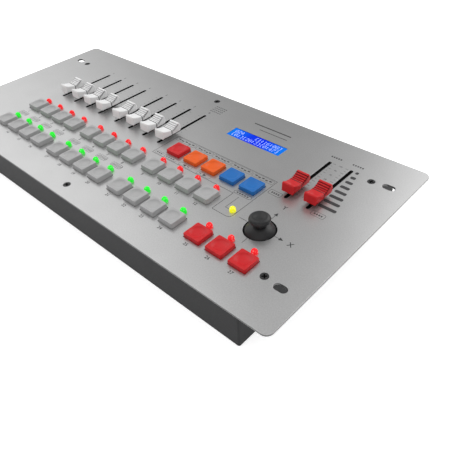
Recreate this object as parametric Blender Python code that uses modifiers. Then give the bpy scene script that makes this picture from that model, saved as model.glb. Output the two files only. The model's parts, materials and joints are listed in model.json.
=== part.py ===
"""Lighting control desk: a 19 inch, five unit, table-top or rack desk in its own frame.

+X runs to the operator's right, +Y away from the operator and +Z up. The origin is at the middle of
the footprint, on the surface that the desk stands on. Lengths are in metres.

The sheet-steel case is a tray with inward flanges, and the flat top panel lies on it as a lid. Under the
panel hang the key board, two slide-control boards, the display and the joystick. Keys, fader caps, the
joystick and the power rocker are pieces of their own, each with its origin on its joint.
"""

import math

import bmesh
import bpy
from mathutils import Matrix, Vector

MM = 0.001
GAP = 0.3 * MM              # clearance kept between neighbouring solids

# Top panel
PANEL_WIDTH = 482.6 * MM    # 19 inch
PANEL_DEPTH = 221.5 * MM    # five rack units
PANEL_TOP = 40.0 * MM
PANEL_THICKNESS = 2.0 * MM
PANEL_UNDER = PANEL_TOP - PANEL_THICKNESS
PANEL_CORNER = 6.0 * MM
REBATE = 0.4 * MM           # shallow recess under the panel that the case's rim sits in

# Case
SHEET = 1.2 * MM
CASE_WIDTH = 424.4 * MM
CASE_DEPTH = 213.7 * MM
CASE_TOP = PANEL_UNDER + REBATE - GAP
CASE_BACK = CASE_DEPTH / 2
FLANGE = 14.0 * MM          # inward flange that carries the panel
BOARD_THICKNESS = 1.6 * MM

# Openings for the rack and the panel's screws
RACK_SLOT = (11.5 * MM, 6.8 * MM)
RACK_SLOT_X = 221.7 * MM
RACK_SLOT_Y = 73.0 * MM
SCREW_HOLE_RADIUS = 1.75 * MM
SIDE_SCREW = (206.2 * MM, 71.4 * MM)
END_SCREW_Y = 97.5 * MM

# Keys: twelve columns in three groups of four
KEY_PITCH = 22.7 * MM
GROUP_PITCH = 97.2 * MM
FIRST_COLUMN_X = -152.4 * MM
BACK_ROW_Y = -31.45 * MM
FRONT_ROW_Y = -70.65 * MM
KEY_TOP_SIDE = 16.6 * MM
KEY_BASE_SIDE = 16.8 * MM
KEY_HOLE_SIDE = 17.5 * MM
KEY_CORNER = 1.2 * MM
SCENE_KEY_HEIGHT = 4.6 * MM
LOW_KEY_HEIGHT = 3.6 * MM
KEY_SINK = 1.0 * MM         # how far a cap reaches into its hole
KEY_TRAVEL = 1.0 * MM
STEM_SIDE = 5.0 * MM
FUNCTION_KEYS = ("red", "orange", "orange", "blue", "blue")
FUNCTION_KEY_X = 40.6 * MM
FUNCTION_KEY_PITCH = 22.9 * MM
FUNCTION_KEY_Y = 1.75 * MM
CONTROL_KEYS = 3
CONTROL_KEY_X = 139.8 * MM
CONTROL_KEY_PITCH = 23.1 * MM

# Lamps on the key board
LAMP_BEHIND_KEY = 12.3 * MM
LAMP_RADIUS = 2.6 * MM
LAMP_HOLE_RADIUS = 2.95 * MM
LAMP_HEIGHT = 3.8 * MM      # above the panel
MODE_LAMP = (140.4 * MM, -31.95 * MM)

# Key board
KEY_BOARD_TOP = 29.0 * MM
SWITCH_SIDE = 6.0 * MM
SWITCH_HEIGHT = 4.3 * MM
KEY_BOARD_OUTLINE = [(-170, -86), (200, -86), (200, -54), (152, -54),
                     (152, 14), (30, 14), (30, -14), (-170, -14)]

# Faders
CHANNEL_FADERS = 8
FADER_FROM_COLUMN = -1.2 * MM
CHANNEL_SLOT_Y = (-0.35 * MM, 67.95 * MM)
MASTER_FADER_X = (162.8 * MM, 185.1 * MM)
MASTER_SLOT_Y = (7.65 * MM, 75.55 * MM)
FADER_SLOT_WIDTH = 3.4 * MM
FADER_REST = 15.2 * MM      # lever's place at rest, behind the slot's near end
FADER_CAP_WIDTH = 12.0 * MM
FADER_CAP_OUTLINE = [(-12.2, 3.4), (-11.7, 10.4), (-10.8, 11.6), (-9.8, 11.5), (-6.4, 9.9), (-2.2, 9.0),
                     (2.0, 8.9), (5.0, 9.8), (8.8, 12.1), (10.2, 12.2), (11.6, 10.7), (12.4, 7.2), (10.8, 3.4)]
LEVER = (1.2 * MM, 5.0 * MM)
LEVER_DEPTH = 7.5 * MM      # below the panel's top
POT_WIDTH = 9.0 * MM
POT_OVERHANG = 10.0 * MM    # beyond the slot at each end
POT_TOP = PANEL_UNDER - 1.0 * MM
POT_HEIGHT = 7.0 * MM
POT_GROOVE = (3.2 * MM, 5.5 * MM)
FADER_BOARD_TOP = POT_TOP - POT_HEIGHT

# Display
DISPLAY_CENTRE = (86.75 * MM, 61.3 * MM)
DISPLAY_OPENING = (65.3 * MM, 15.3 * MM)
DISPLAY_BEZEL = (71.3 * MM, 26.2 * MM)
DISPLAY_BOARD = (80.0 * MM, 36.0 * MM)
DISPLAY_HOLES = (75.0 * MM, 31.0 * MM)
DISPLAY_TOP = PANEL_UNDER - GAP
DISPLAY_DEPTH = 7.0 * MM
WINDOW_THICKNESS = 1.6 * MM

# Joystick, turning about a point under the panel
JOYSTICK = (172.1 * MM, -35.45 * MM)
JOYSTICK_PIVOT = PANEL_TOP - 8.0 * MM
JOYSTICK_HOLE_RADIUS = 13.55 * MM
DOME_RADIUS = 14.5 * MM
DOME_WALL = 1.2 * MM
DOME_EDGE_ANGLE = math.radians(86)
NECK_RADIUS = 5.5 * MM
CAP_RADIUS = 8.8 * MM
CAP_TOP = 13.2 * MM         # above the panel
SHAFT_RADIUS = 1.6 * MM
SOCKET_RADIUS = 1.95 * MM
STICK_HOUSING_SIDE = 16.0 * MM
STICK_HOUSING_WALL = 1.4 * MM
STICK_HOUSING_TOP = PANEL_TOP - 12.3 * MM
STICK_HOUSING_BOTTOM = 13.0 * MM
STICK_BOARD_SIDE = 30.0 * MM
PIVOT_PIN_RADIUS = 1.0 * MM
PIVOT_HOLE_RADIUS = 1.4 * MM

# Rear sockets and switch, seen from above
DMX_SOCKET_X = 118.0 * MM
MIDI_SOCKET_X = 78.0 * MM
POWER_SOCKET_X = 158.0 * MM
SWITCH_X = 186.0 * MM
SOCKET_Z = 19.0 * MM
ROCKER_TILT = math.radians(7)

# Main board, on posts in the case
MAIN_BOARD = (-120.0 * MM, 30.0 * MM, 130.0 * MM, 90.0 * MM)    # centre x, centre y, width, depth
MAIN_BOARD_UNDER = 6.0 * MM
POST_RADIUS = 3.0 * MM

# Studs under the panel: x, y and the board's height they reach down to
STUD_RADIUS = 2.2 * MM
DISPLAY_STUD_RADIUS = 1.9 * MM
KEY_BOARD_STUD_X = (-165.5, -69.75, 27.45, 124.0)
KEY_BOARD_STUD_Y = (-48.0, -83.0)
CHANNEL_STUDS = [(-163.0, 82.5), (-71.0, 82.5), (21.0, 82.5), (-71.0, 5.0)]
MASTER_STUDS = [(173.95, 5.0), (173.95, 82.0)]


def empty_file():
    for item in list(bpy.data.objects):
        bpy.data.objects.remove(item)


empty_file()
desk = bpy.data.collections.new("lighting_control_desk")
tools = bpy.data.collections.new("tools")
bpy.context.scene.collection.children.link(desk)
bpy.context.scene.collection.children.link(tools)


# ---------------------------------------------------------------- materials
def material(name, colour, roughness, metallic=0.0):
    new = bpy.data.materials.new(name)
    new.use_nodes = True
    shader = new.node_tree.nodes["Principled BSDF"]
    shader.inputs["Base Color"].default_value = (*colour, 1)
    shader.inputs["Roughness"].default_value = roughness
    shader.inputs["Metallic"].default_value = metallic
    new.diffuse_color = (*colour, 1)
    return new


MATERIALS = {
    "panel": material("panel", (0.55, 0.55, 0.55), 0.45, 0.6),
    "case": material("case", (0.035, 0.035, 0.037), 0.55),
    "board": material("board", (0.02, 0.16, 0.06), 0.5),
    "grey": material("grey", (0.48, 0.48, 0.48), 0.5),
    "red": material("red", (0.62, 0.03, 0.04), 0.4),
    "orange": material("orange", (0.85, 0.15, 0.02), 0.4),
    "blue": material("blue", (0.03, 0.16, 0.5), 0.4),
    "white": material("white", (0.85, 0.85, 0.85), 0.35),
    "black": material("black", (0.02, 0.02, 0.02), 0.5),
    "metal": material("metal", (0.6, 0.6, 0.6), 0.3, 1.0),
    "display": material("display", (0.01, 0.08, 0.7), 0.3),
    "window": material("window", (0.8, 0.85, 0.9), 0.05),
}


# ---------------------------------------------------------------- shapes
def add_block(mesh, low, high, corner=0.0, steps=2):
    """A box between two corners in a bmesh, its upright edges rounded to the radius corner."""
    low, high = Vector(low), Vector(high)
    place = Matrix.Translation((low + high) / 2) @ Matrix.Diagonal((*(high - low), 1))
    corners = bmesh.ops.create_cube(mesh, size=1, matrix=place)["verts"]
    if corner:
        edges = {edge for vertex in corners for edge in vertex.link_edges}
        upright = [edge for edge in edges if abs((edge.verts[0].co - edge.verts[1].co).z) > 0.1 * MM]
        bmesh.ops.bevel(mesh, geom=upright, offset=corner, segments=steps, profile=0.5, affect="EDGES")


def add_slot(mesh, centre, length, width, low, high, along="X", steps=4):
    """A slot with round ends, as a block whose corner radius is just under half its width."""
    half = (length / 2, width / 2) if along == "X" else (width / 2, length / 2)
    add_block(mesh, (centre[0] - half[0], centre[1] - half[1], low),
              (centre[0] + half[0], centre[1] + half[1], high), 0.49 * width, steps)


def add_cylinder(mesh, centre, radius, low, high, sides=16, top_radius=None, axis="Z"):
    """A cylinder or cone along an axis through centre, from low to high on that axis."""
    turn = {"X": Matrix.Rotation(math.pi / 2, 4, "Y"), "Y": Matrix.Rotation(-math.pi / 2, 4, "X"),
            "Z": Matrix.Identity(4)}[axis]
    middle = (low + high) / 2
    place = {"X": (middle, *centre), "Y": (centre[0], middle, centre[1]), "Z": (*centre, middle)}[axis]
    bmesh.ops.create_cone(mesh, cap_ends=True, segments=sides, radius1=radius,
                          radius2=radius if top_radius is None else top_radius,
                          depth=high - low, matrix=Matrix.Translation(place) @ turn)


def object_of(name, mesh, collection=desk, finish=None):
    """Turns a bmesh, or a mesh, into an object in a collection."""
    if isinstance(mesh, bmesh.types.BMesh):
        data = bpy.data.meshes.new(name)
        mesh.to_mesh(data)
        mesh.free()
    else:
        data = mesh
    new = bpy.data.objects.new(name, data)
    collection.objects.link(new)
    if collection is tools:
        new.hide_render = True
        new.display_type = "WIRE"
    if finish and not data.materials:
        data.materials.append(MATERIALS[finish])
    return new


def combine(target, mesh, operation):
    """Joins a bmesh, in the object's own frame, to the object, or cuts it out, with an exact Boolean."""
    tool = object_of(f"{target.name}_{operation.lower()}_{len(target.modifiers)}", mesh, tools)
    tool.parent = target
    boolean = target.modifiers.new(operation.title(), "BOOLEAN")
    boolean.operation = operation
    boolean.solver = "EXACT"
    boolean.object = tool


def prism(outline, half_thickness):
    """A closed mesh from a flat outline in millimetres, as thick as two half_thickness, along local Z."""
    curve = bpy.data.curves.new("outline", "CURVE")
    curve.dimensions = "2D"
    curve.fill_mode = "BOTH"
    curve.extrude = half_thickness
    spline = curve.splines.new("POLY")
    spline.points.add(len(outline) - 1)
    for point, (x, y) in zip(spline.points, outline):
        point.co = (x * MM, y * MM, 0, 1)
    spline.use_cyclic_u = True
    shape = bpy.data.objects.new("outline", curve)
    tools.objects.link(shape)
    data = evaluated_mesh(shape)
    bpy.data.objects.remove(shape)
    mesh = bmesh.new()
    mesh.from_mesh(data)
    bmesh.ops.remove_doubles(mesh, verts=mesh.verts, dist=0.01 * MM)
    return mesh


def evaluated_mesh(item):
    bpy.context.view_layer.update()
    shown = item.evaluated_get(bpy.context.evaluated_depsgraph_get())
    return bpy.data.meshes.new_from_object(shown)


def turned(name, profile, centre, finish, steps=32):
    """A closed profile of (radius, height) points turned about the upright axis through centre."""
    outline = bmesh.new()
    points = [outline.verts.new((radius, 0, height)) for radius, height in profile]
    for first, second in zip(points, points[1:]):
        outline.edges.new((first, second))
    item = object_of(name, outline, finish=finish)
    item.location = centre
    screw = item.modifiers.new("Turn", "SCREW")
    screw.steps = screw.render_steps = steps
    screw.use_merge_vertices = True
    screw.merge_threshold = 0.00001
    screw.use_normal_calculate = True
    return item


def shared_copies(template, places):
    """One object at each place, all on the template's evaluated mesh; the template is removed."""
    data = evaluated_mesh(template)
    bpy.data.objects.remove(template)
    for name, place in places.items():
        copy = object_of(name, data)
        copy.location = place


# ---------------------------------------------------------------- layout
def column_x(column):
    group, place = divmod(column, 4)
    return FIRST_COLUMN_X + group * GROUP_PITCH + place * KEY_PITCH


scene_keys = [(column_x(column), y) for y in (BACK_ROW_Y, FRONT_ROW_Y) for column in range(12)]
function_keys = [(FUNCTION_KEY_X + i * FUNCTION_KEY_PITCH, FUNCTION_KEY_Y) for i in range(len(FUNCTION_KEYS))]
control_keys = [(CONTROL_KEY_X + i * CONTROL_KEY_PITCH, FRONT_ROW_Y) for i in range(CONTROL_KEYS)]
all_keys = scene_keys + function_keys + control_keys
lamps = [(x, y + LAMP_BEHIND_KEY) for x, y in scene_keys + control_keys] + [MODE_LAMP]
channel_faders = [column_x(column) + FADER_FROM_COLUMN for column in range(CHANNEL_FADERS)]
screws = [(sx * SIDE_SCREW[0], sy * SIDE_SCREW[1]) for sx in (-1, 1) for sy in (-1, 1)]
screws += [(0, -END_SCREW_Y), (0, END_SCREW_Y)]


# ---------------------------------------------------------------- top panel
def top_panel():
    sheet = bmesh.new()
    half = Vector((PANEL_WIDTH / 2, PANEL_DEPTH / 2, 0))
    add_block(sheet, (-half.x, -half.y, PANEL_UNDER), (half.x, half.y, PANEL_TOP), PANEL_CORNER, 5)
    panel = object_of("top_panel", sheet, finish="panel")

    rebate = bmesh.new()
    rim = Vector((CASE_WIDTH / 2 + GAP, CASE_DEPTH / 2 + GAP, 0))
    add_block(rebate, (-rim.x, -rim.y, PANEL_UNDER - 1 * MM), (rim.x, rim.y, PANEL_UNDER + REBATE))
    combine(panel, rebate, "DIFFERENCE")

    studs = bmesh.new()
    root = PANEL_UNDER + 2 * REBATE
    for x in KEY_BOARD_STUD_X:
        for y in KEY_BOARD_STUD_Y:
            add_cylinder(studs, (x * MM, y * MM), STUD_RADIUS, KEY_BOARD_TOP + GAP, root, 8)
    for x, y in CHANNEL_STUDS + MASTER_STUDS:
        add_cylinder(studs, (x * MM, y * MM), STUD_RADIUS, FADER_BOARD_TOP + GAP, root, 8)
    for sx in (-0.5, 0.5):
        for sy in (-0.5, 0.5):
            place = (DISPLAY_CENTRE[0] + sx * DISPLAY_HOLES[0], DISPLAY_CENTRE[1] + sy * DISPLAY_HOLES[1])
            add_cylinder(studs, place, DISPLAY_STUD_RADIUS, DISPLAY_TOP - DISPLAY_DEPTH + GAP, root, 8)
    combine(panel, studs, "UNION")

    holes = bmesh.new()
    low, high = PANEL_UNDER - 1 * MM, PANEL_TOP + 1 * MM
    side = KEY_HOLE_SIDE / 2
    for x, y in all_keys:
        add_block(holes, (x - side, y - side, low), (x + side, y + side, high))
    for x, y in lamps:
        add_cylinder(holes, (x, y), LAMP_HOLE_RADIUS, low, high, 10)
    for x in channel_faders:
        add_fader_slot(holes, x, CHANNEL_SLOT_Y, FADER_SLOT_WIDTH, low, high)
    for x in MASTER_FADER_X:
        add_fader_slot(holes, x, MASTER_SLOT_Y, FADER_SLOT_WIDTH, low, high)
    for sx in (-1, 1):
        for sy in (-1, 1):
            add_slot(holes, (sx * RACK_SLOT_X, sy * RACK_SLOT_Y), *RACK_SLOT, low, high)
    for place in screws:
        add_cylinder(holes, place, SCREW_HOLE_RADIUS, low, high, 12)
    add_cylinder(holes, JOYSTICK, JOYSTICK_HOLE_RADIUS, low, high, 40)
    add_block(holes, (*[c - s / 2 for c, s in zip(DISPLAY_CENTRE, DISPLAY_OPENING)], low),
              (*[c + s / 2 for c, s in zip(DISPLAY_CENTRE, DISPLAY_OPENING)], high))
    combine(panel, holes, "DIFFERENCE")


def add_fader_slot(mesh, x, ends, width, low, high):
    add_slot(mesh, (x, sum(ends) / 2), ends[1] - ends[0], width, low, high, "Y", 3)


# ---------------------------------------------------------------- case
def bottom_case():
    half = (CASE_WIDTH / 2, CASE_DEPTH / 2)
    outside = bmesh.new()
    add_block(outside, (-half[0], -half[1], 0), (half[0], half[1], CASE_TOP), 1.5 * MM, 2)
    case = object_of("bottom_case", outside, finish="case")

    cavity = bmesh.new()
    add_block(cavity, (-half[0] + SHEET, -half[1] + SHEET, SHEET),
              (half[0] - SHEET, half[1] - SHEET, CASE_TOP - SHEET))
    combine(case, cavity, "DIFFERENCE")
    mouth = bmesh.new()
    add_block(mouth, (-half[0] + FLANGE, -half[1] + FLANGE, CASE_TOP / 2),
              (half[0] - FLANGE, half[1] - FLANGE, CASE_TOP + 1 * MM))
    combine(case, mouth, "DIFFERENCE")

    posts = bmesh.new()
    x, y, width, depth = MAIN_BOARD
    for sx in (-0.5, 0.5):
        for sy in (-0.5, 0.5):
            place = (x + sx * (width - 12 * MM), y + sy * (depth - 12 * MM))
            add_cylinder(posts, place, POST_RADIUS, SHEET / 2, MAIN_BOARD_UNDER - GAP, 10)
    combine(case, posts, "UNION")

    holes = bmesh.new()
    front, back = CASE_BACK - 3 * MM, CASE_BACK + 1 * MM
    add_cylinder(holes, (DMX_SOCKET_X, SOCKET_Z), 12.2 * MM, front, back, 24, axis="Y")
    add_cylinder(holes, (MIDI_SOCKET_X, SOCKET_Z), 8.2 * MM, front, back, 20, axis="Y")
    add_cylinder(holes, (POWER_SOCKET_X, SOCKET_Z), 4.3 * MM, front, back, 16, axis="Y")
    add_block(holes, (SWITCH_X - 6.8 * MM, front, SOCKET_Z - 9.8 * MM),
              (SWITCH_X + 6.8 * MM, back, SOCKET_Z + 9.8 * MM))
    low, high = CASE_TOP - 2 * SHEET, CASE_TOP + 1 * MM
    for place in screws:
        add_cylinder(holes, place, SCREW_HOLE_RADIUS - 0.35 * MM, low, high, 12)
    combine(case, holes, "DIFFERENCE")


# ---------------------------------------------------------------- boards
def key_board():
    outline = prism(KEY_BOARD_OUTLINE, BOARD_THICKNESS / 2)
    bmesh.ops.translate(outline, verts=outline.verts, vec=(0, 0, KEY_BOARD_TOP - BOARD_THICKNESS / 2))
    board = object_of("key_board", outline, finish="board")
    fitted = bmesh.new()
    root = KEY_BOARD_TOP - 0.5 * MM
    side = SWITCH_SIDE / 2
    for x, y in all_keys:
        add_block(fitted, (x - side, y - side, root), (x + side, y + side, KEY_BOARD_TOP + SWITCH_HEIGHT))
    for place in lamps:
        add_cylinder(fitted, place, LAMP_RADIUS, root, PANEL_TOP + LAMP_HEIGHT, 8, 0.62 * LAMP_RADIUS)
    combine(board, fitted, "UNION")


def fader_board(name, places, slot, low, high):
    sheet = bmesh.new()
    add_block(sheet, (*low, FADER_BOARD_TOP - BOARD_THICKNESS), (*high, FADER_BOARD_TOP))
    board = object_of(name, sheet, finish="board")
    pots = bmesh.new()
    grooves = bmesh.new()
    for x in places:
        add_block(pots, (x - POT_WIDTH / 2, slot[0] - POT_OVERHANG, FADER_BOARD_TOP - 0.5 * MM),
                  (x + POT_WIDTH / 2, slot[1] + POT_OVERHANG, POT_TOP))
        add_block(grooves, (x - POT_GROOVE[0] / 2, slot[0], POT_TOP - POT_GROOVE[1]),
                  (x + POT_GROOVE[0] / 2, slot[1], POT_TOP + 1 * MM))
    combine(board, pots, "UNION")
    combine(board, grooves, "DIFFERENCE")


def main_board():
    x, y, width, depth = MAIN_BOARD
    top = MAIN_BOARD_UNDER + BOARD_THICKNESS
    sheet = bmesh.new()
    add_block(sheet, (x - width / 2, y - depth / 2, MAIN_BOARD_UNDER), (x + width / 2, y + depth / 2, top))
    board = object_of("main_board", sheet, finish="board")
    chips = bmesh.new()
    for cx, cy, wide, deep, tall in ((0, 0, 15, 37, 3.8), (30, 6, 8, 25, 3.6), (-30, 18, 12, 12, 9)):
        add_block(chips, (x + (cx - wide / 2) * MM, y + (cy - deep / 2) * MM, top - 0.4 * MM),
                  (x + (cx + wide / 2) * MM, y + (cy + deep / 2) * MM, top + tall * MM))
    combine(board, chips, "UNION")


# ---------------------------------------------------------------- display
def display():
    x, y = DISPLAY_CENTRE
    board_top = DISPLAY_TOP - DISPLAY_DEPTH
    sheet = bmesh.new()
    add_block(sheet, (x - DISPLAY_BOARD[0] / 2, y - DISPLAY_BOARD[1] / 2, board_top - BOARD_THICKNESS),
              (x + DISPLAY_BOARD[0] / 2, y + DISPLAY_BOARD[1] / 2, board_top))
    module = object_of("display_module", sheet, finish="display")
    bezel = bmesh.new()
    add_block(bezel, (x - DISPLAY_BEZEL[0] / 2, y - DISPLAY_BEZEL[1] / 2, board_top - 0.5 * MM),
              (x + DISPLAY_BEZEL[0] / 2, y + DISPLAY_BEZEL[1] / 2, DISPLAY_TOP))
    combine(module, bezel, "UNION")

    pane = bmesh.new()
    half = (DISPLAY_OPENING[0] / 2 - GAP, DISPLAY_OPENING[1] / 2 - GAP)
    low = DISPLAY_TOP + GAP
    add_block(pane, (x - half[0], y - half[1], low), (x + half[0], y + half[1], low + WINDOW_THICKNESS))
    object_of("display_window", pane, finish="window")


# ---------------------------------------------------------------- keys
def key_template(height, finish):
    """A square cap that widens downwards, on a square stem that reaches the switch."""
    cap = bmesh.new()
    half = KEY_BASE_SIDE / 2
    add_block(cap, (-half, -half, -KEY_SINK), (half, half, height), KEY_CORNER, 2)
    shrink = KEY_TOP_SIDE / KEY_BASE_SIDE
    for vertex in cap.verts:
        if vertex.co.z > 0:
            vertex.co.x *= shrink
            vertex.co.y *= shrink
    rim = [edge for edge in cap.edges if all(vertex.co.z > 0 for vertex in edge.verts)]
    bmesh.ops.bevel(cap, geom=rim, offset=0.6 * MM, segments=1, affect="EDGES")
    item = object_of("key", cap, finish=finish)
    stem = bmesh.new()
    side = STEM_SIDE / 2
    foot = KEY_BOARD_TOP + SWITCH_HEIGHT + KEY_TRAVEL + GAP - PANEL_TOP
    add_block(stem, (-side, -side, foot), (side, side, -KEY_SINK / 2))
    combine(item, stem, "UNION")
    return item


def keys():
    shared_copies(key_template(SCENE_KEY_HEIGHT, "grey"),
                  {f"scene_key_{i + 1:02d}": (*place, PANEL_TOP) for i, place in enumerate(scene_keys)})
    for colour in ("red", "orange", "blue"):
        places = {f"function_key_{i + 1}": (*place, PANEL_TOP)
                  for i, place in enumerate(function_keys) if FUNCTION_KEYS[i] == colour}
        if colour == "red":
            places |= {f"control_key_{i + 1}": (*place, PANEL_TOP) for i, place in enumerate(control_keys)}
        shared_copies(key_template(LOW_KEY_HEIGHT, colour), places)


# ---------------------------------------------------------------- fader caps
def fader_cap_template(finish):
    """The cap's side outline is as wide as the cap, with the slide control's flat lever moulded in."""
    body = prism(FADER_CAP_OUTLINE, FADER_CAP_WIDTH / 2)
    upright = Matrix(((0, 0, 1), (1, 0, 0), (0, 1, 0)))
    bmesh.ops.transform(body, verts=body.verts, matrix=upright.to_4x4())
    item = object_of("cap", body, finish=finish)
    lever = bmesh.new()
    add_block(lever, (-LEVER[0] / 2, -LEVER[1] / 2, -LEVER_DEPTH), (LEVER[0] / 2, LEVER[1] / 2, 5 * MM))
    combine(item, lever, "UNION")
    return item


def fader_caps():
    shared_copies(fader_cap_template("white"),
                  {f"channel_fader_cap_{i + 1}": (x, CHANNEL_SLOT_Y[0] + FADER_REST, PANEL_TOP)
                   for i, x in enumerate(channel_faders)})
    shared_copies(fader_cap_template("red"),
                  {f"master_fader_cap_{i + 1}": (x, MASTER_SLOT_Y[0] + FADER_REST, PANEL_TOP)
                   for i, x in enumerate(MASTER_FADER_X)})


# ---------------------------------------------------------------- joystick
def joystick_cap():
    """A thumb cap, a neck and a hollow dome. The dome is part of a sphere about the pivot."""
    pivot = JOYSTICK_PIVOT - PANEL_TOP
    inner = DOME_RADIUS - DOME_WALL
    neck_angle = math.asin(NECK_RADIUS / DOME_RADIUS)
    socket_angle = math.asin(SOCKET_RADIUS / inner)
    steps = 7

    def on_sphere(radius, angle):
        return radius * math.sin(angle), pivot + radius * math.cos(angle)

    profile = [(0, CAP_TOP - 0.7 * MM), (5.2 * MM, CAP_TOP), (7.6 * MM, CAP_TOP - 0.5 * MM),
               (CAP_RADIUS, CAP_TOP - 2.7 * MM), (8.0 * MM, CAP_TOP - 4.3 * MM), (NECK_RADIUS, CAP_TOP - 5.6 * MM)]
    for i in range(steps + 1):
        profile.append(on_sphere(DOME_RADIUS, neck_angle + (DOME_EDGE_ANGLE - neck_angle) * i / steps))
    for i in range(steps + 1):
        profile.append(on_sphere(inner, DOME_EDGE_ANGLE + (socket_angle - DOME_EDGE_ANGLE) * i / steps))
    profile += [(SOCKET_RADIUS, CAP_TOP - 4 * MM), (0, CAP_TOP - 4 * MM)]
    turned("joystick_cap", profile, (*JOYSTICK, PANEL_TOP), "black")


def joystick_shaft():
    shaft = bmesh.new()
    top = PANEL_TOP + CAP_TOP - 4 * MM - GAP
    add_cylinder(shaft, (0, 0), SHAFT_RADIUS, -9 * MM, top - JOYSTICK_PIVOT, 12)
    item = object_of("joystick_shaft", shaft, finish="metal")
    item.location = (*JOYSTICK, JOYSTICK_PIVOT)
    pin = bmesh.new()
    add_cylinder(pin, (0, 0), PIVOT_PIN_RADIUS, -4.9 * MM, 4.9 * MM, 12, axis="Y")
    combine(item, pin, "UNION")


def joystick_yoke():
    """A square ring that turns about X in the housing and carries the shaft's pin along Y."""
    outer, inner, half = 5.2 * MM, 3.6 * MM, 1.9 * MM
    ring = bmesh.new()
    add_block(ring, (-outer, -outer, -half), (outer, outer, half))
    item = object_of("joystick_yoke", ring, finish="black")
    item.location = (*JOYSTICK, JOYSTICK_PIVOT)
    pins = bmesh.new()
    reach = STICK_HOUSING_SIDE / 2 - 0.4 * MM
    add_cylinder(pins, (0, 0), PIVOT_PIN_RADIUS, outer - 0.5 * MM, reach, 12, axis="X")
    add_cylinder(pins, (0, 0), PIVOT_PIN_RADIUS, -reach, 0.5 * MM - outer, 12, axis="X")
    combine(item, pins, "UNION")
    hole = bmesh.new()
    add_block(hole, (-inner, -inner, -3 * MM), (inner, inner, 3 * MM))
    combine(item, hole, "DIFFERENCE")
    bores = bmesh.new()
    add_cylinder(bores, (0, 0), PIVOT_HOLE_RADIUS, -7 * MM, 7 * MM, 12, axis="Y")
    combine(item, bores, "DIFFERENCE")


def joystick_housing():
    """An open box on a small board, with a bored ear at each side for the yoke's pins."""
    half = STICK_HOUSING_SIDE / 2
    inside = half - STICK_HOUSING_WALL
    box = bmesh.new()
    add_block(box, (-half, -half, STICK_HOUSING_BOTTOM), (half, half, STICK_HOUSING_TOP))
    item = object_of("joystick_housing", box, finish="metal")
    item.location = (*JOYSTICK, 0)
    fitted = bmesh.new()
    ear = 3.4 * MM
    for low, high in ((-half, -inside), (inside, half)):
        add_block(fitted, (low, -ear, STICK_HOUSING_TOP - 1 * MM), (high, ear, JOYSTICK_PIVOT + 2.4 * MM))
    combine(item, fitted, "UNION")
    board = bmesh.new()
    side = STICK_BOARD_SIDE / 2
    add_block(board, (-side, -side, STICK_HOUSING_BOTTOM - BOARD_THICKNESS), (side, side, STICK_HOUSING_BOTTOM + GAP))
    combine(item, board, "UNION")
    hollow = bmesh.new()
    add_block(hollow, (-inside, -inside, STICK_HOUSING_BOTTOM + 1.5 * MM), (inside, inside, PANEL_TOP))
    combine(item, hollow, "DIFFERENCE")
    bores = bmesh.new()
    add_cylinder(bores, (0, JOYSTICK_PIVOT), PIVOT_HOLE_RADIUS, -half - 1 * MM, half + 1 * MM, 12, axis="X")
    combine(item, bores, "DIFFERENCE")


# ---------------------------------------------------------------- rear sockets
def add_flat(mesh, x, width, height, front, back):
    """A block standing across Y, from front to back, about the socket line."""
    add_block(mesh, (x - width / 2, front, SOCKET_Z - height / 2), (x + width / 2, back, SOCKET_Z + height / 2))


def rear_sockets():
    outside = CASE_BACK + GAP
    flange = bmesh.new()
    add_flat(flange, DMX_SOCKET_X, 26 * MM, 31 * MM, outside, outside + 1.8 * MM)
    item = object_of("dmx_out_socket", flange, finish="black")
    barrel = bmesh.new()
    add_cylinder(barrel, (DMX_SOCKET_X, SOCKET_Z), 11.7 * MM, CASE_BACK - 18 * MM, outside + 1 * MM, 24, axis="Y")
    combine(item, barrel, "UNION")
    contacts = bmesh.new()
    for angle in (0, 120, 240):
        place = (DMX_SOCKET_X + 4.2 * MM * math.sin(math.radians(angle)),
                 SOCKET_Z - 4.2 * MM * math.cos(math.radians(angle)))
        add_cylinder(contacts, place, 1.3 * MM, CASE_BACK - 11 * MM, outside + 3 * MM, 8, axis="Y")
    combine(item, contacts, "DIFFERENCE")

    flange = bmesh.new()
    add_flat(flange, MIDI_SOCKET_X, 26 * MM, 18 * MM, outside, outside + 1.2 * MM)
    item = object_of("midi_in_socket", flange, finish="black")
    barrel = bmesh.new()
    add_cylinder(barrel, (MIDI_SOCKET_X, SOCKET_Z), 7.7 * MM, CASE_BACK - 13 * MM, outside + 0.6 * MM, 20, axis="Y")
    combine(item, barrel, "UNION")
    contacts = bmesh.new()
    for i in range(5):
        angle = math.radians(-90 + 45 * i)
        place = (MIDI_SOCKET_X + 3.9 * MM * math.sin(angle), SOCKET_Z + 3.9 * MM * math.cos(angle))
        add_cylinder(contacts, place, 0.8 * MM, CASE_BACK - 9 * MM, outside + 3 * MM, 8, axis="Y")
    combine(item, contacts, "DIFFERENCE")

    nut = bmesh.new()
    add_cylinder(nut, (POWER_SOCKET_X, SOCKET_Z), 5.6 * MM, outside, outside + 1.8 * MM, 6, axis="Y")
    item = object_of("power_inlet", nut, finish="black")
    barrel = bmesh.new()
    add_cylinder(barrel, (POWER_SOCKET_X, SOCKET_Z), 3.95 * MM, CASE_BACK - 12 * MM, outside + 2.6 * MM, 16, axis="Y")
    combine(item, barrel, "UNION")
    bore = bmesh.new()
    add_cylinder(bore, (POWER_SOCKET_X, SOCKET_Z), 2.8 * MM, CASE_BACK - 7 * MM, outside + 4 * MM, 12, axis="Y")
    combine(item, bore, "DIFFERENCE")
    pin = bmesh.new()
    add_cylinder(pin, (POWER_SOCKET_X, SOCKET_Z), 1.0 * MM, CASE_BACK - 8 * MM, outside + 1 * MM, 8, axis="Y")
    combine(item, pin, "UNION")


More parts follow.
